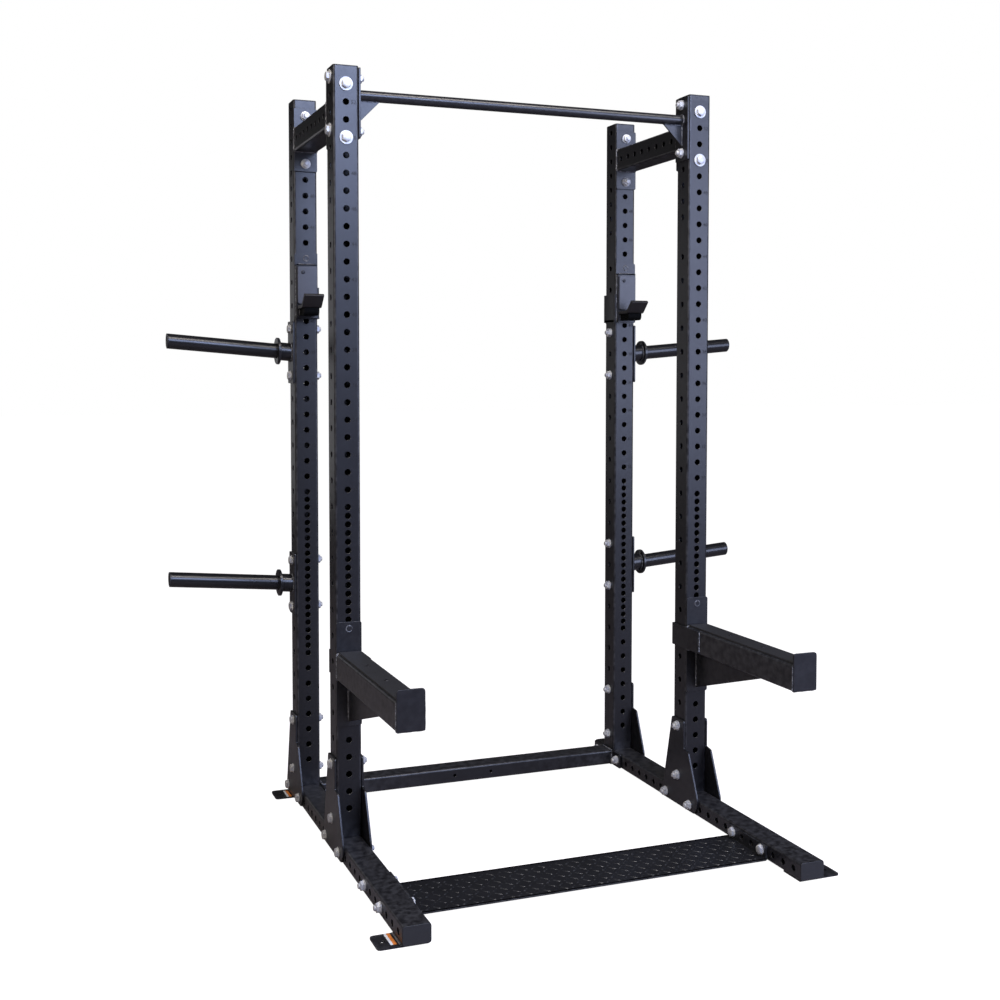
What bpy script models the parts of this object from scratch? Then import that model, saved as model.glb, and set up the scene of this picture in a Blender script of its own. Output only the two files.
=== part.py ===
"""Half-rack style power cage: four square uprights on two base rails, bolted feet,
a pull-up bar, a tread footplate, four plate-storage horns, two J-cups and two spotter arms.

Metres, +Z up, front towards -Y.  X is mirrored left to right.  The base rails run front to
back, their middle is Y = 0 and the floor is Z = 0.
"""
import math

import bmesh
import bpy
from mathutils import Vector

# ---------------------------------------------------------------- driving dimensions
INCH = 0.0254
CLEAR = 0.01                      # how far a cutting shape runs past the metal it cuts
GAP = 0.0003                      # clearance left between neighbouring pieces
SIDES = (("left", -1), ("right", 1))

TUBE = 0.0762                     # upright and side member section
WALL = 0.003                      # wall of every steel tube
SPACING_X = 1.162                 # upright centre to upright centre, side to side
SPACING_Y = 0.511                 # upright centre to upright centre, front to back
UPRIGHT_LENGTH = 2.2454           # cut length of an upright

RAIL_HEIGHT = 0.0508
RAIL_FRONT = 0.677                # rail end ahead of the front upright centre
RAIL_REAR = 0.1077                # rail end behind the rear upright centre
CAP = 0.003                       # flange of a plastic end cap
CAP_PLUG = 0.012                  # how far a cap reaches into its tube

TAB = 0.005                       # bolt-down tab thickness
TAB_REACH = 0.061                 # tab beyond the outer side of its rail
TAB_LENGTH = 0.080
TAB_INSET = 0.010                 # tab edge back from the rail end
TAB_HOLE = 0.014

PITCH = 2 * INCH                  # hole pitch of the front faces
BENCH_PITCH = INCH                # closer pitch through the bench zone
SIDE_PITCH = 3 * INCH             # hole pitch of the side faces
HOLE = 0.0196                     # across the corners of a hole
TOP_TO_FIRST = 2 * INCH           # upright top to the first front hole
TOP_HOLES = 25                    # front holes at the wide pitch from the top
BENCH_HOLES = 21                  # front holes at the close pitch below them
LOW_HOLES = 7                     # front holes at the wide pitch below those

PLATE = 0.006                     # foot plates, flanges, horn plates
FLANGE_HEIGHT = 0.203             # bolted flanges and horn plates
BOLT_SPREAD = 6 * INCH            # between the two bolts of a flange
BOLT = 0.0158                     # across the corners of a bolt shank
HEAD = 0.0277                     # across the corners of a bolt head or nut
HEAD_THICK = 0.010
NUT_THICK = 0.013
WASHER = 0.040
WASHER_THICK = 0.003

PULLUP_DIAMETER = 0.032
PULLUP_DROP = 0.0737              # bar centre below the upright top
PULLUP_GUSSET = 0.066             # leg of the gusset under each end of the bar

FOOT_PLATE_OVER = 0.0235          # foot plate above its upper bolt
FOOT_PLATE_LIFT = 0.005           # foot plate's lower edge above the rail's underside
FOOT_SPLAY = 0.087                # foot plate ahead of the upright
FOOT_SPLAY_REAR = 0.066           # foot plate behind the upright
FOOT_BOLT_LOW = 0.0508            # lower upright bolt above the upright's foot
FOOT_BOLT_SPREAD = 3 * INCH       # rail bolts ahead of and behind the upright centre
CROSS_HOLE = 0.010
CROSS_HOLE_X = 0.067

STEP_WIDTH = 0.203                # tread footplate, front to back
STEP_FORWARD = 0.411              # footplate middle ahead of the front upright centre
STEP_THICK = 0.005
STEP_FLANGE = 0.043

HORN_DIAMETER = 0.0483
HORN_WALL = 0.004
HORN_STUB = 0.059
HORN_STUB_LENGTH = 0.038
HORN_COLLAR = 0.087
HORN_COLLAR_THICK = 0.009
HORN_LENGTH = 0.405               # horn tip beyond the upright side
HORN_RISE = 0.085                 # rise of the horn per unit of reach

CUP_HOLE = 10                     # front hole that carries the J-cup pin, from the top
CUP_TOP = 0.018                   # bracket above the pin
CUP_BOTTOM = 0.196                # bracket below the pin
CUP_PLATE = 0.005
CUP_FLANGE_TOP = 0.094
CUP_LIP = 0.024                   # short lip behind the upright
CUP_BOX_TOP = 0.020
CUP_BOX_BOTTOM = 0.193
CUP_BOX_DEPTH = 0.010
CUP_BOX_WIDTH = 0.070
CUP_BOX_WALL = 0.004
CUP_CORNER = 0.014                # bevel at the flange's lower rear corner
CUP_LINER = 0.006
CUP_LINER_TOP = 0.028
CUP_LINER_BOTTOM = 0.148
CUP_WIDTH = 0.064                 # width of the liners
CUP_BLOCK_WIDTH = 0.050           # steel block under the hook liner
CUP_SHELF = 0.164                 # hook shelf below the pin
CUP_PAD = 0.010                   # thickness of the hook liner, floor and lip alike
CUP_LIP_TOP = 0.1265              # outer corner of the hook liner's lip below the pin
CUP_BLOCK_EASE = 0.008            # bevel at the block's lower front edge
CUP_HEEL = 0.023                  # height of the block
CUP_REACH = 0.102                 # lip of the hook liner ahead of the box; it slopes up at 45 degrees

ARM_HOLE = 14                     # bench-zone hole that carries the spotter arm pin
ARM_TOP = 0.020
ARM_BOTTOM = 0.287
ARM_PLATE = 0.006
ARM_TUBE_TOP = 0.0725             # arm tube top below the pin
ARM_REACH = 0.595                 # arm end ahead of the upright face
ARM_END_RISE = 0.032
ARM_LINER = 0.006
ARM_LINER_WIDTH = 0.064
ARM_WRAP_FRONT = 0.084            # wrap plate ahead of the upright face
ARM_WRAP_HEIGHT = 0.070
ARM_GUSSET_LENGTH = 0.405
ARM_GUSSET_DROP = 0.125
PIN = 0.0158
PIN_REACH = 0.040                 # pin behind the bracket plate

# ---------------------------------------------------------------- derived places
HALF = TUBE / 2
SIDE_X = SPACING_X / 2
RAIL_LENGTH = RAIL_FRONT + SPACING_Y + RAIL_REAR
FRONT_Y = -RAIL_LENGTH / 2 + RAIL_FRONT
REAR_Y = FRONT_Y + SPACING_Y
RAIL_BOTTOM = TAB
RAIL_TOP = RAIL_BOTTOM + RAIL_HEIGHT
RAIL_MID = (RAIL_BOTTOM + RAIL_TOP) / 2
FOOT_Z = RAIL_TOP + GAP
TOP_Z = FOOT_Z + UPRIGHT_LENGTH
FIRST_Z = TOP_Z - TOP_TO_FIRST
LAST_TOP_Z = FIRST_Z - (TOP_HOLES - 1) * PITCH
SIDE_FIRST_Z = FIRST_Z - (CUP_HOLE - 1) * PITCH
MEMBER_Z = FIRST_Z - BOLT_SPREAD / 2
BRACKET_Z = MEMBER_Z + INCH
CUP_PIN_Z = FIRST_Z - (CUP_HOLE - 1) * PITCH
ARM_PIN_Z = LAST_TOP_Z - ARM_HOLE * BENCH_PITCH
FOOT_BOLT_HIGH_Z = SIDE_FIRST_Z - 20 * SIDE_PITCH
FOOT_BOLT_LOW_Z = FOOT_Z + FOOT_BOLT_LOW
HORN_Z = (SIDE_FIRST_Z - 4 * SIDE_PITCH, SIDE_FIRST_Z - 14 * SIDE_PITCH)
STEP_Y = FRONT_Y - STEP_FORWARD


def front_hole_heights():
    """Heights of the front-face holes, from the top of an upright down."""
    heights = [FIRST_Z - i * PITCH for i in range(TOP_HOLES)]
    heights += [LAST_TOP_Z - (i + 1) * BENCH_PITCH for i in range(BENCH_HOLES)]
    last = LAST_TOP_Z - BENCH_HOLES * BENCH_PITCH
    heights += [last - (i + 1) * PITCH for i in range(LOW_HOLES)]
    return heights


# ---------------------------------------------------------------- materials
def material(name, colour, metallic, roughness):
    mat = bpy.data.materials.new(name)
    mat.use_nodes = True
    shader = mat.node_tree.nodes["Principled BSDF"]
    shader.inputs["Base Color"].default_value = (*colour, 1.0)
    shader.inputs["Metallic"].default_value = metallic
    shader.inputs["Roughness"].default_value = roughness
    return mat


def clear_scene():
    for obj in list(bpy.data.objects):
        bpy.data.objects.remove(obj, do_unlink=True)


# ---------------------------------------------------------------- plain solids
AXES = {"X": (1, 2, 0), "Y": (0, 2, 1), "Z": (0, 1, 2)}


def prism(axis, outline, low, high):
    """A flat outline carried along one axis from low to high."""
    first, second, along = AXES[axis]
    verts = []
    for level in (low, high):
        for a, b in outline:
            point = [0.0, 0.0, 0.0]
            point[first], point[second], point[along] = a, b, level
            verts.append(tuple(point))
    n = len(outline)
    faces = [tuple(range(n)), tuple(range(n, 2 * n))]
    faces += [(i, (i + 1) % n, n + (i + 1) % n, n + i) for i in range(n)]
    return verts, faces


def box(x0, x1, y0, y1, z0, z1):
    return prism("Z", [(x0, y0), (x1, y0), (x1, y1), (x0, y1)], z0, z1)


def polygon(centre, radius, count, turn=0.0):
    step = 2 * math.pi / count
    return [(centre[0] + radius * math.cos(turn + i * step),
             centre[1] + radius * math.sin(turn + i * step)) for i in range(count)]


def rod(axis, centre, diameter, low, high, count=6):
    return prism(axis, polygon(centre, diameter / 2, count, math.pi / 2), low, high)


def pipe(axis, centre, width, height, wall, low, high):
    """A rectangular tube, open at both ends."""
    first, second, along = AXES[axis]
    verts = []
    for level in (low, high):
        for inset in (0.0, wall):
            for a, b in ((-1, -1), (1, -1), (1, 1), (-1, 1)):
                point = [0.0, 0.0, 0.0]
                point[first] = centre[0] + a * (width / 2 - inset)
                point[second] = centre[1] + b * (height / 2 - inset)
                point[along] = level
                verts.append(tuple(point))
    faces = []
    for i in range(4):
        j = (i + 1) % 4
        faces.append((i, j, 8 + j, 8 + i))
        faces.append((4 + i, 12 + i, 12 + j, 4 + j))
        faces.append((i, 4 + i, 4 + j, j))
        faces.append((8 + i, 8 + j, 12 + j, 12 + i))
    return verts, faces


def stations(axis, centre, rings, count, turn=math.pi / 2, slope=0.0, origin=0.0, lean=1):
    """Rings of one polygon count strung along an axis: (place, radius) each."""
    first, second, along = AXES[axis]
    verts = []
    for place, radius in rings:
        lift = slope * abs(place - origin) * lean
        for a, b in polygon((centre[0], centre[1] + lift), radius, count, turn):
            point = [0.0, 0.0, 0.0]
            point[first], point[second], point[along] = a, b, place
            verts.append(tuple(point))
    faces = [tuple(range(count))]
    for r in range(len(rings) - 1):
        base = r * count
        for i in range(count):
            j = (i + 1) % count
            faces.append((base + i, base + j, base + count + j, base + count + i))
    last = (len(rings) - 1) * count
    faces.append(tuple(range(last, last + count)))
    return verts, faces


def joined(shapes):
    """Several separate closed solids as one list of corners and faces."""
    verts = []
    faces = []
    for shape_verts, shape_faces in shapes:
        base = len(verts)
        verts += shape_verts
        faces += [tuple(base + i for i in face) for face in shape_faces]
    return verts, faces


def mesh_object(name, shape):
    mesh = bpy.data.meshes.new(name)
    mesh.from_pydata(shape[0], [], shape[1])
    work = bmesh.new()
    work.from_mesh(mesh)
    bmesh.ops.recalc_face_normals(work, faces=work.faces)
    work.to_mesh(mesh)
    work.free()
    obj = bpy.data.objects.new(name, mesh)
    bpy.context.scene.collection.objects.link(obj)
    return obj


def combine(obj, shape, operation):
    """Weld a shape on, or cut it away, and keep the result as plain mesh."""
    tool = mesh_object("tool", shape)
    change = obj.modifiers.new("change", "BOOLEAN")
    change.operation = operation
    change.solver = "EXACT"
    change.object = tool
    bpy.context.view_layer.update()
    result = bpy.data.meshes.new_from_object(obj.evaluated_get(bpy.context.evaluated_depsgraph_get()))
    obj.modifiers.clear()
    obj.data = result
    bpy.data.objects.remove(tool, do_unlink=True)


def piece(name, mat, shape, welds=(), cuts=(), origin=(0.0, 0.0, 0.0)):
    """One named sub-part: a base shape, what is welded on, then what is cut away."""
    obj = mesh_object(name, shape)
    for weld in welds:
        combine(obj, weld, "UNION")
    if cuts:
        combine(obj, joined(cuts), "DIFFERENCE")
    obj.data.name = name
    obj.data.materials.clear()
    obj.data.materials.append(mat)
    for face in obj.data.polygons:
        face.material_index = 0
    shift = Vector(origin)
    for vertex in obj.data.vertices:
        vertex.co -= shift
    obj.location = shift
    return obj


def bolt(axis, centre, head, nut, sunk=0.0):
    """Hex bolt with its nut run up: the head on one face, the nut on the other.

    sunk lets the end that is welded to its plate reach a little into it.
    """
    way = 1 if nut > head else -1
    start = head - way * (GAP - sunk)
    end = nut + way * GAP
    rings = [(start - way * HEAD_THICK, HEAD / 2), (start, HEAD / 2), (start, BOLT / 2),
             (end, BOLT / 2), (end, HEAD / 2), (end + way * NUT_THICK, HEAD / 2)]
    return stations(axis, centre, rings, 6)


def loose_bolt(name, mat, axis, centre, head, nut):
    """A bolt of its own, with a broad washer under its head."""
    way = 1 if nut > head else -1
    near = head - way * GAP
    far = near - way * WASHER_THICK
    washer = rod(axis, centre, WASHER, near, far, 12)
    shank = bolt(axis, centre, far + way * GAP, nut)
    piece(name, mat, shank, [washer])


# ---------------------------------------------------------------- frame pieces
def side_bolt_heights(row):
    heights = [FOOT_BOLT_HIGH_Z, FOOT_BOLT_LOW_Z]
    if row == "front":
        heights += [BRACKET_Z + BOLT_SPREAD / 2, BRACKET_Z - BOLT_SPREAD / 2]
    else:
        for z in HORN_Z:
            heights += [z + BOLT_SPREAD / 2, z - BOLT_SPREAD / 2]
    return heights


def build_uprights(steel):
    for row, y in (("front", FRONT_Y), ("rear", REAR_Y)):
        for side, sign in SIDES:
            x = sign * SIDE_X
            cuts = []
            through = (FIRST_Z, FIRST_Z - BOLT_SPREAD)
            for z in front_hole_heights():
                back = y + HALF + CLEAR if any(abs(z - t) < 1e-6 for t in through) else y
                cuts.append(rod("Y", (x, z), HOLE, y - HALF - CLEAR, back))
            for z in side_bolt_heights(row):
                cuts.append(rod("X", (y, z), HOLE, x - HALF - CLEAR, x + HALF + CLEAR))
            body = pipe("Z", (x, y), TUBE, TUBE, WALL, FOOT_Z, TOP_Z)
            piece(f"upright_{row}_{side}", steel, body, cuts=cuts)


def build_rails(steel):
    bolt_ys = [y + s * FOOT_BOLT_SPREAD for y in (FRONT_Y, REAR_Y) for s in (-1, 1)]
    bolt_ys += [STEP_Y - BOLT_SPREAD / 2, STEP_Y + BOLT_SPREAD / 2]
    low = -RAIL_LENGTH / 2 + CAP + GAP
    high = RAIL_LENGTH / 2 - CAP - GAP
    for side, sign in SIDES:
        x = sign * SIDE_X
        inner = x - sign * HALF
        outer = x + sign * (HALF + TAB_REACH)
        body = pipe("Y", (x, RAIL_MID), TUBE, RAIL_HEIGHT, WALL, low, high)
        tabs = []
        cuts = [rod("X", (y, RAIL_MID), HOLE, x - HALF - CLEAR, x + HALF + CLEAR) for y in bolt_ys]
        for end in (-1, 1):
            near = end * (RAIL_LENGTH / 2 - TAB_INSET)
            far = near - end * TAB_LENGTH
            y0, y1 = min(near, far), max(near, far)
            tabs.append(box(min(inner, outer), max(inner, outer), y0, y1, 0.0, TAB + WALL / 3))
            spot = (x + sign * (HALF + TAB_REACH * 0.6), (y0 + y1) / 2)
            cuts.append(rod("Z", spot, TAB_HOLE, -CLEAR, TAB + CLEAR, 8))
        piece(f"base_rail_{side}", steel, body, tabs, cuts)


def foot_outline(y):
    """Foot plate outline: straight beside the bolt, stepped and splayed down to the rail."""
    bottom = RAIL_BOTTOM + FOOT_PLATE_LIFT
    top = FOOT_BOLT_HIGH_Z + FOOT_PLATE_OVER
    rise = top - bottom
    front = y - HALF
    return [(y + HALF, top), (front, top), (front, bottom + 0.68 * rise),
            (front - 0.33 * FOOT_SPLAY, bottom + 0.665 * rise), (front - FOOT_SPLAY, bottom + 0.18 * rise),
            (front - FOOT_SPLAY, bottom + 0.09 * rise), (front - 0.79 * FOOT_SPLAY, bottom),
            (y + HALF + FOOT_SPLAY_REAR, bottom)]


def build_feet(steel):
    """Each foot has an outer plate with its four bolts; the front feet an inner plate too.

    At the rear the rail bolts run on through the crossmember's end flange.
    """
    for row, y in (("front", FRONT_Y), ("rear", REAR_Y)):
        high = [(y, FOOT_BOLT_HIGH_Z), (y, FOOT_BOLT_LOW_Z)]
        low = [(y - FOOT_BOLT_SPREAD, RAIL_MID), (y + FOOT_BOLT_SPREAD, RAIL_MID)]
        for side, sign in SIDES:
            x = sign * SIDE_X
            near = HALF + GAP
            outer = prism("X", foot_outline(y), x + sign * near, x + sign * (near + PLATE))
            head = x + sign * (near + PLATE)
            plated = x - sign * (near + PLATE)
            bare = x - sign * HALF
            bolts = [bolt("X", spot, head, plated, sunk=2 * GAP) for spot in low]
            seat = plated if row == "front" else bare
            bolts += [bolt("X", spot, head, seat, sunk=2 * GAP) for spot in high]
            piece(f"foot_plate_{row}_{side}_outer", steel, outer, [joined(bolts)])
            if row == "front":
                inner = prism("X", foot_outline(y), x - sign * near, x - sign * (near + PLATE))
                cuts = [rod("X", spot, HOLE, x - sign * (near - CLEAR), x - sign * (near + PLATE + CLEAR))
                        for spot in high + low]
                piece(f"foot_plate_{row}_{side}_inner", steel, inner, cuts=cuts)


def build_crossmember(steel):
    """A tube between the rear feet, with a flange at each end bolted to its rail."""
    reach = SIDE_X - HALF - GAP
    low, high = RAIL_BOTTOM + GAP, RAIL_TOP - GAP
    body = pipe("X", (REAR_Y, RAIL_MID), TUBE, high - low, WALL, -reach + PLATE / 2, reach - PLATE / 2)
    flanges = []
    cuts = [rod("Y", (s * CROSS_HOLE_X, RAIL_MID), CROSS_HOLE, REAR_Y - HALF - CLEAR, REAR_Y)
            for s in (-1, 1)]
    for sign in (-1, 1):
        near, far = sign * reach, sign * (reach - PLATE)
        flanges.append(box(min(near, far), max(near, far), REAR_Y - FLANGE_HEIGHT / 2,
                           REAR_Y + FLANGE_HEIGHT / 2, low, high))
        cuts += [rod("X", (REAR_Y + s * FOOT_BOLT_SPREAD, RAIL_MID), HOLE,
                     near + sign * CLEAR, far - sign * CLEAR)
                 for s in (-1, 1)]
    piece("rear_crossmember", steel, body, flanges, cuts)


def build_footplate(steel):
    reach = SIDE_X - HALF - GAP
    low, high = STEP_Y - STEP_WIDTH / 2, STEP_Y + STEP_WIDTH / 2
    base = RAIL_BOTTOM
    outline = [(-reach, base), (reach, base), (reach, base + STEP_FLANGE),
               (reach - PLATE, base + STEP_FLANGE), (reach - PLATE, base + STEP_THICK),
               (-reach + PLATE, base + STEP_THICK), (-reach + PLATE, base + STEP_FLANGE),
               (-reach, base + STEP_FLANGE)]
    spots = [STEP_Y + (i - 1.5) * PITCH for i in range(4)]
    cuts = []
    bolts = []
    for sign in (-1, 1):
        cuts += [rod("X", (y, RAIL_MID), HOLE, sign * (reach + CLEAR), sign * (reach - CLEAR))
                 for y in spots[1:3]]
        bolts += [bolt("X", (y, RAIL_MID), sign * (reach - PLATE), sign * (SIDE_X + HALF), sunk=2 * GAP)
                  for y in (spots[0], spots[3])]
    piece("tread_footplate", steel, prism("Y", outline, low, high), [joined(bolts)], cuts)


def build_side_members(steel, zinc):
    front = FRONT_Y + HALF + GAP
    rear = REAR_Y - HALF - GAP
    for side, sign in SIDES:
        x = sign * SIDE_X
        body = pipe("Y", (x, MEMBER_Z), TUBE, TUBE, WALL, front + PLATE / 2, rear - PLATE / 2)
        welds = [box(x - HALF, x + HALF, y, y + PLATE, MEMBER_Z - FLANGE_HEIGHT / 2,
                     MEMBER_Z + FLANGE_HEIGHT / 2) for y in (front, rear - PLATE)]
        cuts = [rod("Y", (x, MEMBER_Z + s * BOLT_SPREAD / 2), HOLE, y - CLEAR, y + CLEAR)
                for y in (front + PLATE / 2, rear - PLATE / 2) for s in (-1, 1)]
        middle = (front + rear) / 2
        count = int((rear - front - 0.03) / PITCH)
        for i in range(count):
            y = middle + (i - (count - 1) / 2) * PITCH
            outer = x + sign * HALF
            cuts.append(rod("X", (y, MEMBER_Z), HOLE, outer - CLEAR, outer + CLEAR))
        piece(f"top_side_member_{side}", steel, body, welds, cuts)
        for level, s in (("upper", 1), ("lower", -1)):
            spot = (x, MEMBER_Z + s * BOLT_SPREAD / 2)
            loose_bolt(f"member_bolt_front_{side}_{level}", zinc, "Y", spot, FRONT_Y - HALF, front + PLATE)
            loose_bolt(f"member_bolt_rear_{side}_{level}", zinc, "Y", spot, REAR_Y + HALF, rear - PLATE)


def build_pullup_bar(satin, zinc):
    """The bar, its two bolted end plates and the gussets under it are one weldment."""
    face = SIDE_X - HALF - GAP
    bar_z = TOP_Z - PULLUP_DROP
    reach = face - PLATE / 2
    bar = stations("X", (FRONT_Y, bar_z), [(-reach, PULLUP_DIAMETER / 2), (reach, PULLUP_DIAMETER / 2)], 12)
    welds = []
    cuts = []
    heights = (("upper", BRACKET_Z + BOLT_SPREAD / 2), ("lower", BRACKET_Z - BOLT_SPREAD / 2))
    for side, sign in SIDES:
        near, far = sign * face, sign * (face - PLATE)
        welds.append(box(min(near, far), max(near, far), FRONT_Y - HALF, FRONT_Y + HALF,
                         BRACKET_Z - FLANGE_HEIGHT / 2, BRACKET_Z + FLANGE_HEIGHT / 2 - GAP))
        root, tip = sign * reach, sign * (face - PLATE - PULLUP_GUSSET)
        welds.append(prism("Y", [(root, bar_z), (tip, bar_z), (tip, bar_z - PULLUP_DIAMETER / 2),
                                 (root, bar_z - PULLUP_DIAMETER / 2 - PULLUP_GUSSET)],
                           FRONT_Y - PLATE / 2, FRONT_Y + PLATE / 2))
        for level, z in heights:
            cuts.append(rod("X", (FRONT_Y, z), HOLE, near + sign * CLEAR, far - sign * CLEAR))
            loose_bolt(f"bar_bolt_{side}_{level}", zinc, "X", (FRONT_Y, z), sign * (SIDE_X + HALF), far)
    piece("pull_up_bar", satin, bar, welds, cuts)


def build_horns(satin, plastic):
    """Each horn is a hollow peg, collar and stub welded to a bolted plate, with a cap in its tip."""
    face = SIDE_X + HALF + GAP
    collar = face + PLATE + HORN_STUB_LENGTH
    step = collar + HORN_COLLAR_THICK
    tip = face + HORN_LENGTH - CAP - GAP
    bore = HORN_DIAMETER / 2 - HORN_WALL
    outside = [(face + PLATE / 2, HORN_STUB / 2), (collar, HORN_STUB / 2), (collar, HORN_COLLAR / 2),
               (step, HORN_COLLAR / 2), (step, HORN_DIAMETER / 2), (tip, HORN_DIAMETER / 2)]
    inside = [(face + 2 * PLATE, bore), (tip + CAP, bore)]
    cap = [(tip - CAP_PLUG, bore - GAP), (tip + GAP, bore - GAP), (tip + GAP, HORN_DIAMETER / 2),
           (tip + GAP + CAP, HORN_DIAMETER / 2)]
    for side, sign in SIDES:
        for level, z in zip(("upper", "lower"), HORN_Z):
            turned = [stations("X", (REAR_Y, z), [(sign * place, radius) for place, radius in rings], 12,
                               slope=HORN_RISE, origin=sign * face) for rings in (outside, inside, cap)]
            low, high = sorted((sign * face, sign * (face + PLATE)))
            plate = box(low, high, REAR_Y - HALF, REAR_Y + HALF,
                        z - FLANGE_HEIGHT / 2, z + FLANGE_HEIGHT / 2)
            bolts = joined([bolt("X", (REAR_Y, z + s * BOLT_SPREAD / 2), sign * (face + PLATE),
                                 sign * (SIDE_X - HALF), sunk=2 * GAP) for s in (-1, 1)])
            piece(f"storage_horn_{level}_{side}", satin, plate, [turned[0], bolts], [turned[1]])
            piece(f"horn_cap_{level}_{side}", plastic, turned[2])


def square(x0, x1, y0, y1, inset=0.0):
    x0, x1, y0, y1 = x0 + inset, x1 - inset, y0 + inset, y1 - inset
    return [(x0, y0), (x1, y0), (x1, y1), (x0, y1)]


def build_end_caps(plastic):
    inset = WALL + GAP
    for side, sign in SIDES:
        x = sign * SIDE_X
        for row, y in (("front", FRONT_Y), ("rear", REAR_Y)):
            spot = (x - HALF, x + HALF, y - HALF, y + HALF)
            shape = stepped("Z", square(*spot), square(*spot, inset),
                            TOP_Z + GAP + CAP, TOP_Z + GAP, TOP_Z - CAP_PLUG)
            piece(f"top_cap_{row}_{side}", plastic, shape)
        for row, end in (("front", -1), ("rear", 1)):
            spot = (x - HALF, x + HALF, RAIL_BOTTOM, RAIL_TOP)
            outer = end * RAIL_LENGTH / 2
            shape = stepped("Y", square(*spot), square(*spot, inset),
                            outer, outer - end * CAP, outer - end * (CAP + CAP_PLUG))
            piece(f"rail_cap_{row}_{side}", plastic, shape)


def stepped(axis, wide, narrow, start, shoulder, end):
    """A four-sided cap: a wide flange with a narrower plug behind it."""
    first, second, along = AXES[axis]
    verts = []
    for outline, level in ((wide, start), (wide, shoulder), (narrow, shoulder), (narrow, end)):
        for a, b in outline:
            point = [0.0, 0.0, 0.0]
            point[first], point[second], point[along] = a, b, level
            verts.append(tuple(point))
    faces = [(0, 1, 2, 3), (12, 13, 14, 15)]
    for base in (0, 4, 8):
        faces += [(base + i, base + (i + 1) % 4, base + 4 + (i + 1) % 4, base + 4 + i) for i in range(4)]
    return verts, faces


# ---------------------------------------------------------------- J-cups
def build_cup(side, sign, steel, grey, black):
    """Welded bracket, box and hook; a pin; and two screwed-on plastic liners."""
    x = sign * SIDE_X
    face = REAR_Y - HALF
    z0 = CUP_PIN_Z
    pivot = (x, face, z0)
    front = face - GAP
    plate_front = front - CUP_PLATE
    inner = x - sign * (HALF + GAP)
    skin = inner - sign * CUP_PLATE
    back = REAR_Y + HALF + GAP
    outline = [(front, z0 + CUP_TOP), (plate_front, z0 + CUP_TOP), (plate_front, z0 - CUP_BOTTOM),
               (front, z0 - CUP_BOTTOM)]
    plate = prism("X", outline, x + sign * HALF, inner + sign * GAP)
    tail = back + CUP_PLATE
    flange = prism("X", [(plate_front, z0 - CUP_FLANGE_TOP), (tail, z0 - CUP_FLANGE_TOP),
                         (tail, z0 - CUP_BOTTOM + CUP_CORNER), (tail - CUP_CORNER, z0 - CUP_BOTTOM),
                         (plate_front, z0 - CUP_BOTTOM)], skin, inner)
    bend = box(min(skin, x), max(skin, x), plate_front, front, z0 - CUP_BOTTOM, z0 - CUP_FLANGE_TOP)
    lip = box(min(skin, inner + sign * CUP_LIP), max(skin, inner + sign * CUP_LIP), back, tail,
              z0 - CUP_BOTTOM + CUP_CORNER, z0 - CUP_FLANGE_TOP)
    nose = plate_front - CUP_BOX_DEPTH
    half = CUP_BOX_WIDTH / 2
    wall = CUP_BOX_WALL
    root = plate_front + GAP
    channel = [(x - half, root), (x - half, nose), (x + half, nose), (x + half, root),
               (x + half - wall, root), (x + half - wall, nose + wall),
               (x - half + wall, nose + wall), (x - half + wall, root)]
    body = prism("Z", channel, z0 - CUP_BOX_BOTTOM, z0 - CUP_BOX_TOP - wall / 2)
    lid = box(x - half, x + half, nose, root, z0 - CUP_BOX_TOP - wall, z0 - CUP_BOX_TOP)
    fold = CUP_REACH - (CUP_SHELF - GAP - CUP_LIP_TOP)
    heel = CUP_SHELF + CUP_HEEL
    block = [(-wall / 2, heel), (fold - CUP_BLOCK_EASE, heel), (fold - GAP, heel - CUP_BLOCK_EASE),
             (fold - GAP, CUP_SHELF), (-wall / 2, CUP_SHELF)]
    hook = prism("X", [(nose - d, z0 - h) for d, h in block], x - CUP_BLOCK_WIDTH / 2, x + CUP_BLOCK_WIDTH / 2)
    hole = rod("Y", (x, z0), PIN + 4 * GAP, plate_front - CLEAR, front + CLEAR, 8)
    piece(f"j_cup_body_{side}", steel, plate, [flange, bend, lip, body, lid, hook], [hole], pivot)

    pin = rod("Y", (x, z0), PIN, plate_front - 0.001, front + PIN_REACH, 8)
    piece(f"j_cup_pin_{side}", steel, pin, origin=pivot)
    liner_face = nose - GAP
    width = CUP_WIDTH / 2
    liner = box(x - width, x + width, liner_face - CUP_LINER, liner_face,
                z0 - CUP_LINER_BOTTOM, z0 - CUP_LINER_TOP)
    piece(f"j_cup_back_liner_{side}", grey, liner, origin=pivot)
    top = CUP_SHELF - GAP
    skew = CUP_PAD * math.sqrt(0.5)
    pad = [(GAP, top), (fold, top), (CUP_REACH, CUP_LIP_TOP), (CUP_REACH - skew, CUP_LIP_TOP - skew),
           (fold + CUP_PAD - 2 * skew, top - CUP_PAD), (GAP, top - CUP_PAD)]
    shape = prism("X", [(nose - d, z0 - h) for d, h in pad], x - width, x + width)
    piece(f"j_cup_hook_liner_{side}", black, shape, origin=pivot)


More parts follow.
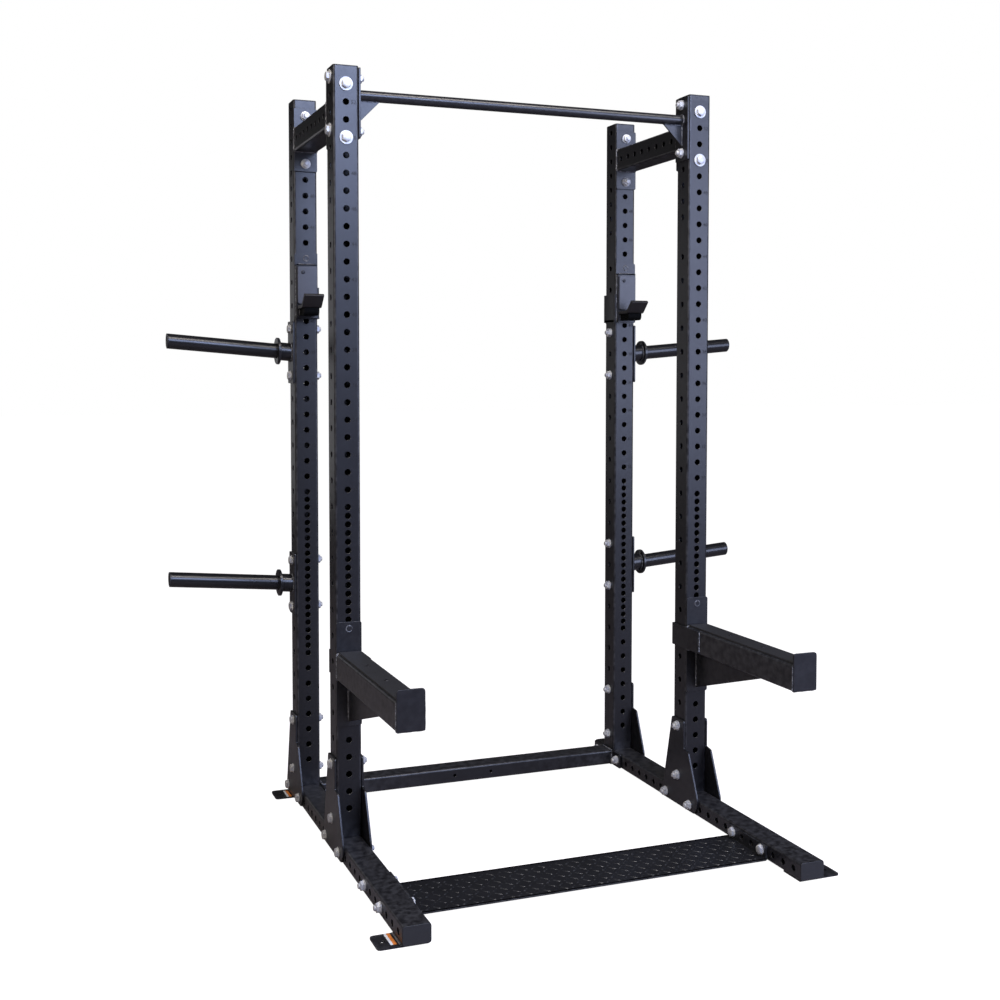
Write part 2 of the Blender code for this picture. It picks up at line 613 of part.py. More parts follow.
# ---------------------------------------------------------------- spotter arms
def build_arm(side, sign, steel, black):
    """Welded bracket, tube, end plate, gusset and wrap; a pin; and a plastic liner strip."""
    x = sign * SIDE_X
    face = FRONT_Y - HALF
    z0 = ARM_PIN_Z
    pivot = (x, face, z0)
    front = face - GAP
    plate_front = front - ARM_PLATE
    plate = box(x - HALF, x + HALF, plate_front, front, z0 - ARM_BOTTOM, z0 + ARM_TOP)
    tube_top = z0 - ARM_TUBE_TOP
    tube_low = tube_top - TUBE
    tube_mid = (tube_top + tube_low) / 2
    end = face - ARM_REACH
    tube = pipe("Y", (x, tube_mid), TUBE, TUBE, WALL, end + PLATE / 2, plate_front + ARM_PLATE / 3)
    stop = box(x - HALF, x + HALF, end, end + PLATE, tube_low, tube_top + ARM_END_RISE)
    root, tip = plate_front + GAP, plate_front - ARM_GUSSET_LENGTH
    web = prism("X", [(root, tube_low + WALL / 2), (tip, tube_low + WALL / 2), (tip, tube_low),
                      (root, tube_low - ARM_GUSSET_DROP)],
                x - PLATE / 2, x + PLATE / 2)
    inner = x - sign * (HALF + GAP)
    skin = inner - sign * PLATE
    back = FRONT_Y + HALF + GAP
    high = tube_top - WALL / 2
    low = high - ARM_WRAP_HEIGHT
    wrap = prism("Z", [(inner, plate_front), (inner, back), (x + sign * HALF, back),
                       (x + sign * HALF, back + PLATE), (skin, back + PLATE), (skin, face - ARM_WRAP_FRONT),
                       (x - sign * (HALF - WALL / 2), face - ARM_WRAP_FRONT),
                       (x - sign * (HALF - WALL / 2), plate_front)], low, high)
    cuts = [rod("Y", (x, z0), PIN + 4 * GAP, plate_front - CLEAR, front + CLEAR, 8),
            rod("Y", (x, tube_mid), HOLE, plate_front - CLEAR, front + CLEAR)]
    piece(f"spotter_arm_{side}", steel, plate, [tube, stop, web, wrap], cuts, pivot)

    pin = rod("Y", (x, z0), PIN, plate_front - 0.001, front + PIN_REACH, 8)
    piece(f"spotter_pin_{side}", steel, pin, origin=pivot)
    half = ARM_LINER_WIDTH / 2
    strip = box(x - half, x + half, end + PLATE + GAP, plate_front - 0.004,
                tube_top + GAP, tube_top + GAP + ARM_LINER)
    piece(f"spotter_liner_{side}", black, strip, origin=pivot)


def build():
    clear_scene()
    steel = material("black_powder_coat", (0.030, 0.031, 0.036), 0.35, 0.48)
    satin = material("satin_black", (0.026, 0.027, 0.031), 0.45, 0.36)
    zinc = material("bright_zinc", (0.72, 0.74, 0.78), 1.0, 0.28)
    plastic = material("black_plastic", (0.018, 0.018, 0.019), 0.0, 0.55)
    grey = material("grey_liner_plastic", (0.045, 0.047, 0.052), 0.0, 0.45)
    build_uprights(steel)
    build_rails(steel)
    build_feet(steel)
    build_crossmember(steel)
    build_footplate(steel)
    build_side_members(steel, zinc)
    build_pullup_bar(satin, zinc)
    build_horns(satin, plastic)
    build_end_caps(plastic)
    for side, sign in SIDES:
        build_cup(side, sign, steel, grey, plastic)
        build_arm(side, sign, steel, plastic)


build()
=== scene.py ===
"""Half-rack power cage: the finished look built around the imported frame.

Metres, +Z up, front towards -Y.  Every piece keeps its object at the origin and its place in its mesh.
"""

import math

import bmesh
import bpy
import numpy as np
from mathutils import Euler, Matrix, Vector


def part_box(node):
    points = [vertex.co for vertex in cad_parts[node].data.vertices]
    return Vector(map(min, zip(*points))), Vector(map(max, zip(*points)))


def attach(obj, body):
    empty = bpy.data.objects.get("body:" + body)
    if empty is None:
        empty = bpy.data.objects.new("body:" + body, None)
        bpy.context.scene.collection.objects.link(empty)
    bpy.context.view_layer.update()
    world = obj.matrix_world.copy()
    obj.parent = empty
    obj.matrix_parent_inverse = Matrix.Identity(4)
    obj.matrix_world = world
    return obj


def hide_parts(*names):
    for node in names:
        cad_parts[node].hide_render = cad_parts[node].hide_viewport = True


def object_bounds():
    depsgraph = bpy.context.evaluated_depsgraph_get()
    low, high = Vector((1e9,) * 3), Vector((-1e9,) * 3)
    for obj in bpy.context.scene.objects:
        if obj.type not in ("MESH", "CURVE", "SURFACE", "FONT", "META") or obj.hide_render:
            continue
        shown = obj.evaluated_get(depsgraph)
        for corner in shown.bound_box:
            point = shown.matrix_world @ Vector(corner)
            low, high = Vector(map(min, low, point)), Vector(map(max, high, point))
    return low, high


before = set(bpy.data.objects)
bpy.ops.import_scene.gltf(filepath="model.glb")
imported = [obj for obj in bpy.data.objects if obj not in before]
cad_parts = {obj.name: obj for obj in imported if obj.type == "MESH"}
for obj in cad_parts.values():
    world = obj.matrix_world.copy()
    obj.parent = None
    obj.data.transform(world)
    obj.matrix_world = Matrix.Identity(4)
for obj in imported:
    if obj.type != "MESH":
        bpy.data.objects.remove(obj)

CAD_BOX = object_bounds()
SIDES = (("left", -1), ("right", 1))
INCH = 0.0254
PITCH = 2 * INCH                  # front holes
SIDE_PITCH = 3 * INCH             # side holes and foot bolts
BOLT_SPREAD = 6 * INCH            # between the two bolts of an end plate
TUBE = 0.0762
HALF = TUBE / 2
WALL = 0.003
CORNER = 0.0065                   # outside corner radius of every square tube
HOLE = 0.0091                     # radius of a hole in the hole rows
RIM = 0.0008                      # rounding of the coat at a hole's edge
AROUND = 16                       # sides of a drilled hole
PLATE = 0.006
EDGE = 0.0009                     # rolled edge of a cut plate
PLATE_CORNER = 0.005
PLATE_HALF = 0.1015               # half the length of a bolted end plate
PLUG = 0.0033                     # a plug's head beyond its tube
GAP = 0.0003                      # air between pieces that lie against each other
HEAD_FLATS = 0.0240               # width of a bolt head across its flats
HEAD_FLANGE = 0.0158              # radius of the round flange under a head or nut
SHANK = 0.0079                    # radius of a bolt's thread and of a pin
WASHER = 0.020
BAR_RADIUS = 0.016
PEG_RADIUS = 0.02415
STUB_RADIUS = 0.0295
HORN_RISE = 0.085                 # rise of a storage horn over its run
TAB = 0.005
LINER = 0.006                     # thickness of a flat plastic liner
LINER_HALF = 0.032
WAY_X, WAY_Y, WAY_Z = (1.0, 0.0, 0.0), (0.0, 1.0, 0.0), (0.0, 0.0, 1.0)


def limits(node):
    """The lowest and the highest corner of a node's box."""
    return (np.array(corner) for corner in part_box(node))


# ---------------------------------------------------------------- places read from the frame
UP_LOW, UP_HIGH = limits("upright_front_right")
REAR_LOW, REAR_HIGH = limits("upright_rear_right")
SIDE_X = (UP_LOW[0] + UP_HIGH[0]) / 2
FRONT_Y = (UP_LOW[1] + UP_HIGH[1]) / 2
REAR_Y = (REAR_LOW[1] + REAR_HIGH[1]) / 2
SPACING_HALF = (REAR_Y - FRONT_Y) / 2
INNER_X = SIDE_X - HALF - GAP     # where a plate lies against an upright's inner side
FOOT_Z, TOP_Z = UP_LOW[2], UP_HIGH[2]
RAIL_END = CAD_BOX[1][1]
RAIL_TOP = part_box("base_rail_right")[1][2]
RAIL_MID = (TAB + RAIL_TOP) / 2
FIRST_Z = TOP_Z - PITCH           # highest front hole
LAST_TOP_Z = FIRST_Z - 24 * PITCH  # lowest of the upper front holes, above the close row
CUP_PIN_Z = FIRST_Z - 9 * PITCH
ARM_PIN_Z = LAST_TOP_Z - 14 * INCH
MEMBER_Z = FIRST_Z - BOLT_SPREAD / 2
BRACKET_Z = MEMBER_Z + INCH
HORN_Z = (CUP_PIN_Z - 4 * SIDE_PITCH, CUP_PIN_Z - 14 * SIDE_PITCH)
FOOT_BOLTS_Z = (CUP_PIN_Z - 20 * SIDE_PITCH, FOOT_Z + PITCH)
STEP_Y = sum(corner[1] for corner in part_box("tread_footplate")) / 2
BAR_Z = TOP_Z - 0.0737

AXES = {"X": (1, 2, 0), "Y": (0, 2, 1), "Z": (0, 1, 2)}


# ---------------------------------------------------------------- shapes
def placed(axis, first, second, along):
    """Points from two cross coordinates and a place along an axis, as one (count, 3) array."""
    first, second, along = np.broadcast_arrays(first, second, along)
    points = np.empty(first.shape + (3,))
    for index, values in zip(AXES[axis], (first, second, along)):
        points[..., index] = values
    return points.reshape(-1, 3)


def gather(*shapes):
    """Several shapes as one, each one's faces counted on from the last one's points."""
    points, faces, count = [], [], 0
    for verts, loops in shapes:
        points.append(verts)
        faces += [[index + count for index in loop] for loop in loops]
        count += len(verts)
    return np.concatenate(points), faces


def quads(rows, columns, closed=True):
    """Four-sided faces between neighbouring rows of a grid, whose columns may close round."""
    row = np.arange(rows - 1)[:, None]
    column = np.arange(columns if closed else columns - 1)[None, :]
    after = (column + 1) % columns
    near, far = row * columns, (row + 1) * columns
    return np.stack([near + column, near + after, far + after, far + column], -1).reshape(-1, 4).tolist()


def rings(points, around, capped=True):
    """A stack of closed rings joined by four-sided faces, with a flat cap at each end."""
    count = len(points) // around
    faces = quads(count, around)
    if capped:
        faces.append(list(range(around))[::-1])
        faces.append(list(range((count - 1) * around, count * around)))
    return points, faces


def eased(outline, radius, steps=5):
    """An outline with each corner replaced by a quadratic curve.

    The curve at corner C runs from A to B, the points that lie radius away from C along its two
    edges: (1 - t)^2 A + 2 t (1 - t) C + t^2 B.
    """
    corner = np.array(outline, float)
    radius = np.broadcast_to(np.array(radius, float), (len(corner),))[:, None]
    before = np.roll(corner, 1, 0) - corner
    after = np.roll(corner, -1, 0) - corner
    start = corner + radius * before / np.linalg.norm(before, axis=1, keepdims=True)
    end = corner + radius * after / np.linalg.norm(after, axis=1, keepdims=True)
    t = np.linspace(0, 1, steps)[None, :, None]
    curve = (1 - t) ** 2 * start[:, None] + 2 * t * (1 - t) * corner[:, None] + t ** 2 * end[:, None]
    return curve.reshape(-1, 2)


def prism(axis, outline, near, far):
    """A flat outline carried straight along an axis and closed at both ends."""
    outline = np.array(outline, float)
    along = np.array([near, far])[:, None]
    return rings(placed(axis, outline[None, :, 0], outline[None, :, 1], along), len(outline))


def rectangle(first, second, third, fourth):
    """Corners of the rectangle from (first, third) to (second, fourth)."""
    return [(first, third), (second, third), (second, fourth), (first, fourth)]


def end_plate(axis, first, second, near, far):
    """A plate with rounded corners across an axis; each direction gives its middle and half size."""
    sides = [middle + way * half for middle, half in (first, second) for way in (-1, 1)]
    return prism(axis, eased(rectangle(*sides), PLATE_CORNER), near, far)


def slab(low, high):
    """A plain block from its lowest to its highest corner."""
    return prism("Z", rectangle(low[0], high[0], low[1], high[1]), low[2], high[2])


def turned(axis, centre, profile, around=40, lean=0.0, root=0.0):
    """A profile of (place, radius) pairs turned about an axis.

    With a lean, each ring is lifted by lean times its distance from root.
    """
    profile = np.array(profile, float)
    angle = np.linspace(0, 2 * math.pi, around, endpoint=False)[None, :]
    along, radius = profile[:, :1], profile[:, 1:]
    first = centre[0] + radius * np.cos(angle)
    second = centre[1] + radius * np.sin(angle) + lean * np.abs(along - root)
    return rings(placed(axis, first, second, along), around)


def hexagon(angle, half_flats):
    """A hexagon's radius: half its width across flats over the cosine from the nearest flat's middle."""
    return half_flats / np.cos((angle + math.pi / 6) % (math.pi / 3) - math.pi / 6)


def hexagon_head(axis, centre, seat, way, tall, flange=0.0):
    """A hexagon with a coned top, on a thin round flange where one is given.

    The cone lowers each side's top by how far that side stands past the round crown.
    """
    angle = np.linspace(0, 2 * math.pi, 48, endpoint=False)
    side = hexagon(angle, HEAD_FLATS / 2)
    crown = np.full_like(angle, 0.92 * HEAD_FLATS / 2)
    skirt = np.maximum(side, flange)
    rise = 0.0022 if flange else 0.0
    radius = np.stack([skirt, skirt, side + 0.0002, side, crown, 0.55 * crown, 0 * crown])
    level = np.stack([0 * angle, 0 * angle + rise / 2, 0 * angle + rise, tall - 0.6 * (side - crown),
            0 * angle + tall, 0 * angle + tall + 0.0006, 0 * angle + tall + 0.0008])
    points = placed(axis, centre[0] + radius * np.cos(angle), centre[1] + radius * np.sin(angle),
            seat + way * level)
    return rings(points, 48)


def bolt(axis, centre, head, nut, washer=0.0):
    """A flanged head at one end, and at the other a washer, a nut and the bolt's threaded end.

    The thread is a row of shallow rings 2 mm apart whose radius goes in and out.
    """
    way = 1 if nut > head else -1
    seat = head - way * GAP
    parts = []
    if washer:
        parts.append(turned(axis, centre, [(seat, washer - 0.0006), (seat - way * 0.0004, washer),
                (seat - way * 0.0024, washer), (seat - way * 0.0030, washer - 0.0006)]))
        seat -= way * 0.0030
    parts.append(hexagon_head(axis, centre, seat, -way, 0.0096, 0.0 if washer else HEAD_FLANGE))
    far = nut + way * GAP
    parts.append(turned(axis, centre, [(far, HEAD_FLANGE), (far + way * 0.0022, HEAD_FLANGE),
            (far + way * 0.0026, HEAD_FLANGE - 0.0006)]))
    parts.append(hexagon_head(axis, centre, far + way * 0.0026, way, 0.0104))
    start = far + way * 0.011
    turns = np.arange(9)
    place = start + way * 0.001 * turns
    depth = np.where(turns % 2, SHANK - 0.0008, SHANK - 0.0001)
    depth[-1] = SHANK - 0.0018
    parts.append(turned(axis, centre, np.stack([place, depth], 1), 20))
    return gather(*parts)


def screw(axis, centre, seat, way, radius=0.006):
    """A low round screw head with a small hexagon socket pressed into it."""
    angle = np.linspace(0, 2 * math.pi, 24, endpoint=False)
    socket = hexagon(angle, 0.42 * radius)
    round_ = np.ones_like(angle)
    radii = np.stack([radius * round_, radius * round_, 0.86 * radius * round_, 0.6 * radius * round_,
            socket, socket, 0 * round_])
    level = np.array([-0.001, 0.0012, 0.0021, 0.0025, 0.0025, 0.0008, 0.0006])[:, None]
    points = placed(axis, centre[0] + radii * np.cos(angle), centre[1] + radii * np.sin(angle),
            seat + way * level)
    return rings(points, 24)


def unit(axis):
    """The unit vector along an axis."""
    return np.array([axis == "X", axis == "Y", axis == "Z"], float)


def square_ring():
    """Points round the edge of a square from -1 to 1, AROUND of them, and the circle they match."""
    step = np.arange(AROUND // 4) / (AROUND // 4) * 2 - 1
    one = np.ones_like(step)
    edge = np.concatenate([np.stack([step, -one], 1), np.stack([one, step], 1),
            np.stack([-step, one], 1), np.stack([-one, -step], 1)])
    angle = -0.75 * math.pi + 2 * math.pi * np.arange(AROUND) / AROUND
    return edge, np.stack([np.cos(angle), np.sin(angle)], 1)


def drilled_wall(middle, across, along, out, width, low, high, holes, reach, wall=WALL, radius=HOLE):
    """A flat wall with a row of round holes.

    Each hole sits in its own cell of the wall: rings run from the cell's edge in to the hole, over
    its rounded rim, down through the thickness and out again to the cell's edge on the far side.
    Plain faces fill what lies between the cells.
    """
    edge, circle = square_ring()
    holes = np.sort(np.array(holes, float))
    count = len(holes)
    spread = np.full(count, reach)
    if count > 1:
        between = np.diff(holes) / 2
        spread = np.minimum(spread, np.minimum(np.r_[between, reach], np.r_[reach, between]))
    flat = width / 2
    u, v = ([np.tile(circle[:, k] * ring, (count, 1)) for ring in (radius + RIM, radius, radius)]
            for k in (0, 1))
    skirt_u, skirt_v = np.tile(edge[:, 0] * flat, (count, 1)), edge[:, 1] * spread[:, None]
    u = np.stack([skirt_u, *u, skirt_u], 1)
    v = np.stack([skirt_v, *v, skirt_v], 1) + holes[:, None, None]
    depth = np.broadcast_to(np.array([0, 0, RIM, wall, wall])[None, :, None], u.shape)
    cell = np.array(quads(5, AROUND))
    faces = (cell[None] + (np.arange(count) * 5 * AROUND)[:, None, None]).reshape(-1, 4).tolist()
    stops = np.r_[low, np.stack([holes - spread, holes + spread], 1).ravel(), high].reshape(-1, 2)
    stops = stops[stops[:, 1] - stops[:, 0] > 1e-5]
    ends = stops[:, [0, 0, 1, 1]]
    sides = np.tile([-flat, flat, flat, -flat], (len(stops), 1))
    u = np.r_[u.ravel(), sides.ravel(), sides.ravel()]
    v = np.r_[v.ravel(), ends.ravel(), ends.ravel()]
    depth = np.r_[depth.ravel(), np.zeros(sides.size), np.full(sides.size, wall)]
    base = count * 5 * AROUND
    fill = base + np.arange(sides.size).reshape(-1, 4)
    faces += fill.tolist() + (fill + sides.size)[:, ::-1].tolist()
    points = middle + u[:, None] * across + v[:, None] * along - depth[:, None] * out
    return points, faces


def drilled_tube(axis, centre, halves, low, high, rows, radius=HOLE):
    """A rounded rectangular tube whose four walls may each have a row of holes.

    Going round, each wall is followed by its quarter-round corner, swept straight from end to end
    outside and inside, and both ends are closed by a flat rim of the tube's thickness.
    """
    along = unit(axis)
    first, second, _ = AXES[axis]
    origin = np.zeros(3)
    origin[first], origin[second] = centre
    half = np.zeros(3)
    half[first], half[second] = halves
    out = np.zeros(3)
    out[first] = 1
    shapes = []
    outer, inner = [], []
    angle = np.linspace(0, math.pi / 2, 5)[:, None]
    for _ in range(4):
        across = np.cross(along, out)
        reach, width = half @ np.abs(out), 2 * (half @ np.abs(across) - CORNER)
        key = "+-"[int(out.sum() < 0)] + "XYZ"[int(np.argmax(np.abs(out)))]
        shapes.append(drilled_wall(origin + reach * out, across, along, out, width, low, high,
                rows.get(key, []), INCH, radius=radius))
        spoke = np.cos(angle) * out + np.sin(angle) * across
        bend = origin + (reach - CORNER) * out + width / 2 * across
        outer.append(bend + CORNER * spoke)
        inner.append(bend + (CORNER - WALL) * spoke)
        for skin, order in ((outer[-1], 1), (inner[-1], -1)):
            strip = np.concatenate([skin + low * along, skin + high * along])
            faces = [face[::order] for face in quads(2, len(skin), closed=False)]
            shapes.append((strip, faces))
        out = across
    outer, inner = np.concatenate(outer), np.concatenate(inner)
    for end, order in ((high, 1), (low, -1)):
        rim = np.concatenate([outer + end * along, inner + end * along])
        shapes.append((rim, [face[::order] for face in quads(2, len(outer))]))
    return gather(*shapes)


def even(points, spacing, closed=True):
    """Points a fixed distance apart along a line, read off its length."""
    points = np.array(points, float)
    line = np.concatenate([points, points[:1]]) if closed else points
    length = np.r_[0, np.cumsum(np.linalg.norm(np.diff(line, axis=0), axis=1))]
    count = max(int(length[-1] / spacing), 4)
    at = np.linspace(0, length[-1], count, endpoint=not closed)
    return np.stack([np.interp(at, length, line[:, k]) for k in range(3)], 1), at


def bead(path, facing, size, closed=True):
    """A weld bead: a round section carried along a line, its radius swelling once every 3.4 mm.

    The section lies across the line, between the direction that the bead faces and its square.
    """
    points, at = even(path, 0.00115, closed)
    if closed:
        run = np.roll(points, -1, 0) - np.roll(points, 1, 0)
    else:
        run = np.gradient(points, axis=0)
    run /= np.linalg.norm(run, axis=1, keepdims=True)
    side = np.cross(np.broadcast_to(facing, run.shape), run)
    side /= np.linalg.norm(side, axis=1, keepdims=True)
    angle = np.linspace(0, 2 * math.pi, 8, endpoint=False)
    swell = size * (1 + 0.13 * np.sin(at * 2 * math.pi / 0.0034) + 0.08 * np.sin(at * 211.0))
    if not closed:
        swell = swell * np.sqrt(np.clip(np.minimum(at, at[-1] - at) / 0.004, 0.05, 1))
    ring = (np.cos(angle)[None, :, None] * side[:, None] + np.sin(angle)[None, :, None] * np.array(facing))
    verts = (points[:, None] + swell[:, None, None] * ring).reshape(-1, 3)
    if closed:
        faces = quads(len(points), 8)
        last = (len(points) - 1) * 8
        turn = np.arange(8)
        after = (turn + 1) % 8
        faces += np.stack([last + turn, last + after, after, turn], 1).tolist()
        return verts, faces
    return rings(verts, 8)


def seam(start, end, facing, size):
    """A straight weld bead."""
    return bead([start, end], facing, size, closed=False)


def lock_pin(x, z, face, front):
    """A pin through a bracket and an upright's front wall, bevelled at both ends."""
    place = np.array([face - 0.0010, face - 0.0003, front + 0.036, front + 0.040])
    return turned("Y", (x, z), np.stack([place, [0.0072, SHANK, SHANK, 0.0050]], 1), 36)


def around_tube(axis, centre, halves, at):
    """The line round a rounded rectangular tube at one place along it."""
    outline = eased(rectangle(centre[0] - halves[0], centre[0] + halves[0],
            centre[1] - halves[1], centre[1] + halves[1]), CORNER)
    return placed(axis, outline[:, 0], outline[:, 1], at)


def around_bar(axis, centre, radius, at):
    """The line round a round bar at one place along it."""
    angle = np.linspace(0, 2 * math.pi, 48, endpoint=False)
    return placed(axis, centre[0] + radius * np.cos(angle), centre[1] + radius * np.sin(angle), at)


# ---------------------------------------------------------------- finishes
class Wire:
    """A node's output; arithmetic written on it adds Math nodes."""

    def __init__(self, finish, socket):
        self.finish = finish
        self.socket = socket

    def maths(self, operation, *values):
        return self.finish.node("ShaderNodeMath", {"operation": operation}, dict(enumerate(values)))

    def __add__(self, other):
        return self.maths("ADD", self, other)

    def __sub__(self, other):
        return self.maths("SUBTRACT", self, other)

    def __rsub__(self, other):
        return self.maths("SUBTRACT", other, self)

    def __mul__(self, other):
        return self.maths("MULTIPLY", self, other)

    __radd__ = __add__
    __rmul__ = __mul__


class Finish:
    """A material under construction."""

    def __init__(self, name):
        self.material = bpy.data.materials.new(name)
        self.material.use_nodes = True
        self.tree = self.material.node_tree
        self.tree.nodes.clear()
        self.where = self.node("ShaderNodeTexCoord", output="Object")

    def node(self, kind, settings=None, inputs=None, output=0):
        """Any node: its settings first, then the values or links of its sockets."""
        node = self.tree.nodes.new(kind)
        for key, value in (settings or {}).items():
            setattr(node, key, value)
        for key, value in (inputs or {}).items():
            if isinstance(value, Wire):
                self.tree.links.new(value.socket, node.inputs[key])
            else:
                node.inputs[key].default_value = value
        return Wire(self, node.outputs[output])

    def noise(self, scale, detail=3.0, rough=0.55, stretch=None):
        """Soft noise on the object's own coordinates, drawn out where a stretch is given."""
        where = self.where
        if stretch:
            where = self.node("ShaderNodeMapping", inputs={"Vector": where, "Scale": stretch})
        return self.node("ShaderNodeTexNoise", inputs={"Vector": where, "Scale": scale, "Detail": detail,
                "Roughness": rough})

    def ramp(self, value, low, high):
        """A value stretched from low..high to 0..1 and held there."""
        return self.node("ShaderNodeMapRange", inputs={0: value, 1: low, 2: high, 3: 0.0, 4: 1.0})

    def mix(self, first, second, share):
        """Two colours mixed."""
        first, second = ((*c, 1.0) if isinstance(c, tuple) else c for c in (first, second))
        return self.node("ShaderNodeMix", {"data_type": "RGBA"}, {0: share, 6: first, 7: second}, 2)

    def edges(self, low=0.52, high=0.60):
        """One on outer edges, nought on flats, broken up by noise."""
        return (self.ramp(self.node("ShaderNodeNewGeometry", output="Pointiness"), low, high)
                * self.ramp(self.noise(55.0, 4.0), 0.38, 0.62))

    def facing_up(self):
        """How far the surface faces up, from nought at level to one."""
        normal = self.node("ShaderNodeNewGeometry", output="Normal")
        return self.ramp(self.node("ShaderNodeSeparateXYZ", inputs={0: normal}, output=2), 0.6, 1.0)

    def bump(self, height, depth, strength):
        """A normal raised by a height, by at most the given depth in metres."""
        return self.node("ShaderNodeBump", inputs={"Height": height, "Distance": depth, "Strength": strength})

    def done(self, colour, rough, normal, metallic=0.0, **sockets):
        """The finished material; further sockets are named with underscores for spaces."""
        inputs = {"Base Color": colour, "Roughness": rough, "Normal": normal, "Metallic": metallic}
        inputs.update({key.replace("_", " "): value for key, value in sockets.items()})
        shader = self.node("ShaderNodeBsdfPrincipled", inputs=inputs)
        end = self.tree.nodes.new("ShaderNodeOutputMaterial")
        self.tree.links.new(shader.socket, end.inputs["Surface"])
        return self.material


def shade(colour, amount):
    """A colour made lighter or darker."""
    return tuple(min(channel * amount, 1.0) for channel in colour)


def powder_coat(name, colour, rough, grain):
    """Baked powder paint: orange peel, faint clouds, a trace of dust on top, thin rubbed edges."""
    f = Finish(name)
    broad = f.noise(2.4, 3.0)
    mottle = f.noise(34.0, 4.0, 0.6)
    peel = f.noise(780.0, 2.0, 0.6)
    dust = f.facing_up() * f.ramp(f.noise(11.0, 5.0, 0.6), 0.42, 0.80)
    worn = f.edges(0.53, 0.62)
    base = f.mix(shade(colour, 0.82), shade(colour, 1.20), broad)
    base = f.mix(base, shade(colour, 1.5), f.ramp(mottle, 0.52, 0.80) * 0.25)
    base = f.mix(base, shade(colour, 2.2), f.ramp(peel, 0.60, 0.80) * 0.20)
    base = f.mix(base, (0.10, 0.10, 0.105), worn * 0.30)
    base = f.mix(base, (0.10, 0.09, 0.085), dust * 0.02)
    rough = rough + (mottle - 0.5) * 0.05 + (peel - 0.5) * 0.08 + (broad - 0.5) * 0.06 + dust * 0.06
    return f.done(base, rough, f.bump(peel + mottle * 0.25, grain, 0.5), IOR=1.5)


def zinc_plate(name, colour, rough):
    """Dulled zinc plate: faint blue and straw tints, with dull grey spots."""
    f = Finish(name)
    tint = f.noise(60.0, 2.0)
    spots = f.noise(240.0, 4.0, 0.65)
    base = f.mix(shade(colour, 0.86), (0.74, 0.72, 0.64), f.ramp(tint, 0.35, 0.75))
    base = f.mix(base, (0.34, 0.35, 0.38), f.ramp(spots, 0.58, 0.75) * 0.5)
    rough = rough + f.ramp(spots, 0.4, 0.75) * 0.22
    return f.done(base, rough, f.bump(spots, 0.00008, 0.5), metallic=0.30)


def moulded(name, colour, rough, grain, lines=None, ior=1.5):
    """Moulded or cut plastic: fine grain, cloudy colour, pale rubbed edges and faint scuffs."""
    f = Finish(name)
    cloud = f.noise(14.0, 3.0)
    fine = f.noise(620.0, 3.0, 0.6)
    scuff = f.noise(90.0, 3.0, 0.6, stretch=lines or (1.0, 1.0, 4.0))
    base = f.mix(shade(colour, 0.84), shade(colour, 1.16), cloud)
    base = f.mix(base, shade(colour, 1.7), f.ramp(scuff, 0.62, 0.80) * 0.30)
    base = f.mix(base, shade(colour, 2.0), f.edges() * 0.35)
    rough = rough + (fine - 0.5) * 0.14 + f.ramp(scuff, 0.6, 0.8) * 0.12
    return f.done(base, rough, f.bump(fine, grain, 0.5), IOR=ior)


def weld_metal(name):
    """Painted-over weld: the coat is thin on the ripples, so steel grey shows through."""
    f = Finish(name)
    blotch = f.noise(130.0, 4.0, 0.65)
    base = f.mix((0.030, 0.030, 0.032), (0.30, 0.30, 0.31), f.ramp(blotch, 0.42, 0.70))
    rough = 0.40 - f.ramp(blotch, 0.4, 0.8) * 0.10
    return f.done(base, rough, f.bump(blotch, 0.0002, 0.6), metallic=f.ramp(blotch, 0.5, 0.8) * 0.5)


def tread_steel(name):
    """Black tread plate: grey scuffs where soles rub its edges, over a cloudy dark tone."""
    f = Finish(name)
    wear = f.noise(16.0, 5.0, 0.65)
    fine = f.noise(700.0, 2.0)
    base = f.mix((0.006, 0.006, 0.007), (0.014, 0.014, 0.016), wear)
    base = f.mix(base, (0.10, 0.10, 0.10), f.edges(0.52, 0.60) * 0.40)
    rough = 0.36 + (wear - 0.5) * 0.2
    return f.done(base, rough, f.bump(fine + wear * 0.3, 0.00006, 0.6))


def paint(name, colour):
    """A painted stripe, slightly chalky, with the coat's grain under it."""
    f = Finish(name)
    chalk = f.noise(120.0, 4.0)
    base = f.mix(shade(colour, 0.78), colour, f.ramp(chalk, 0.3, 0.6))
    return f.done(base, 0.5 + chalk * 0.2, f.bump(f.noise(700.0), 0.00005, 0.5))


COAT = powder_coat("black_powder_coat", (0.0062, 0.0060, 0.0072), 0.36, 0.00008)
SATIN = powder_coat("satin_black", (0.0068, 0.0066, 0.0074), 0.29, 0.00004)
ZINC = zinc_plate("bright_zinc", (0.50, 0.51, 0.55), 0.40)
BLACK = moulded("black_plastic", (0.017, 0.017, 0.018), 0.52, 0.00012)
GREY = moulded("grey_liner_plastic", (0.046, 0.047, 0.054), 0.38, 0.00005, (1.0, 1.0, 6.0))
HOOK = moulded("hook_liner_plastic", (0.010, 0.008, 0.0075), 0.50, 0.00008, (6.0, 1.0, 1.0))
# Near-black with weak reflection: painted shade for the shadowed underside below each J-cup's hook pad, used
# on the cup block
PAINTED_SHADE_BLACK = moulded("painted_shade_black", (0.0030, 0.0030, 0.0030), 0.70, 0.00010, ior=1.15)
WELD = weld_metal("weld_metal")
TREAD = tread_steel("tread_steel")
WHITE = paint("white_stripe", (0.80, 0.80, 0.78))
ORANGE = paint("orange_stripe", (0.80, 0.24, 0.04))
INK = moulded("numeral_ink", (0.006, 0.006, 0.007), 0.85, 0.00003)


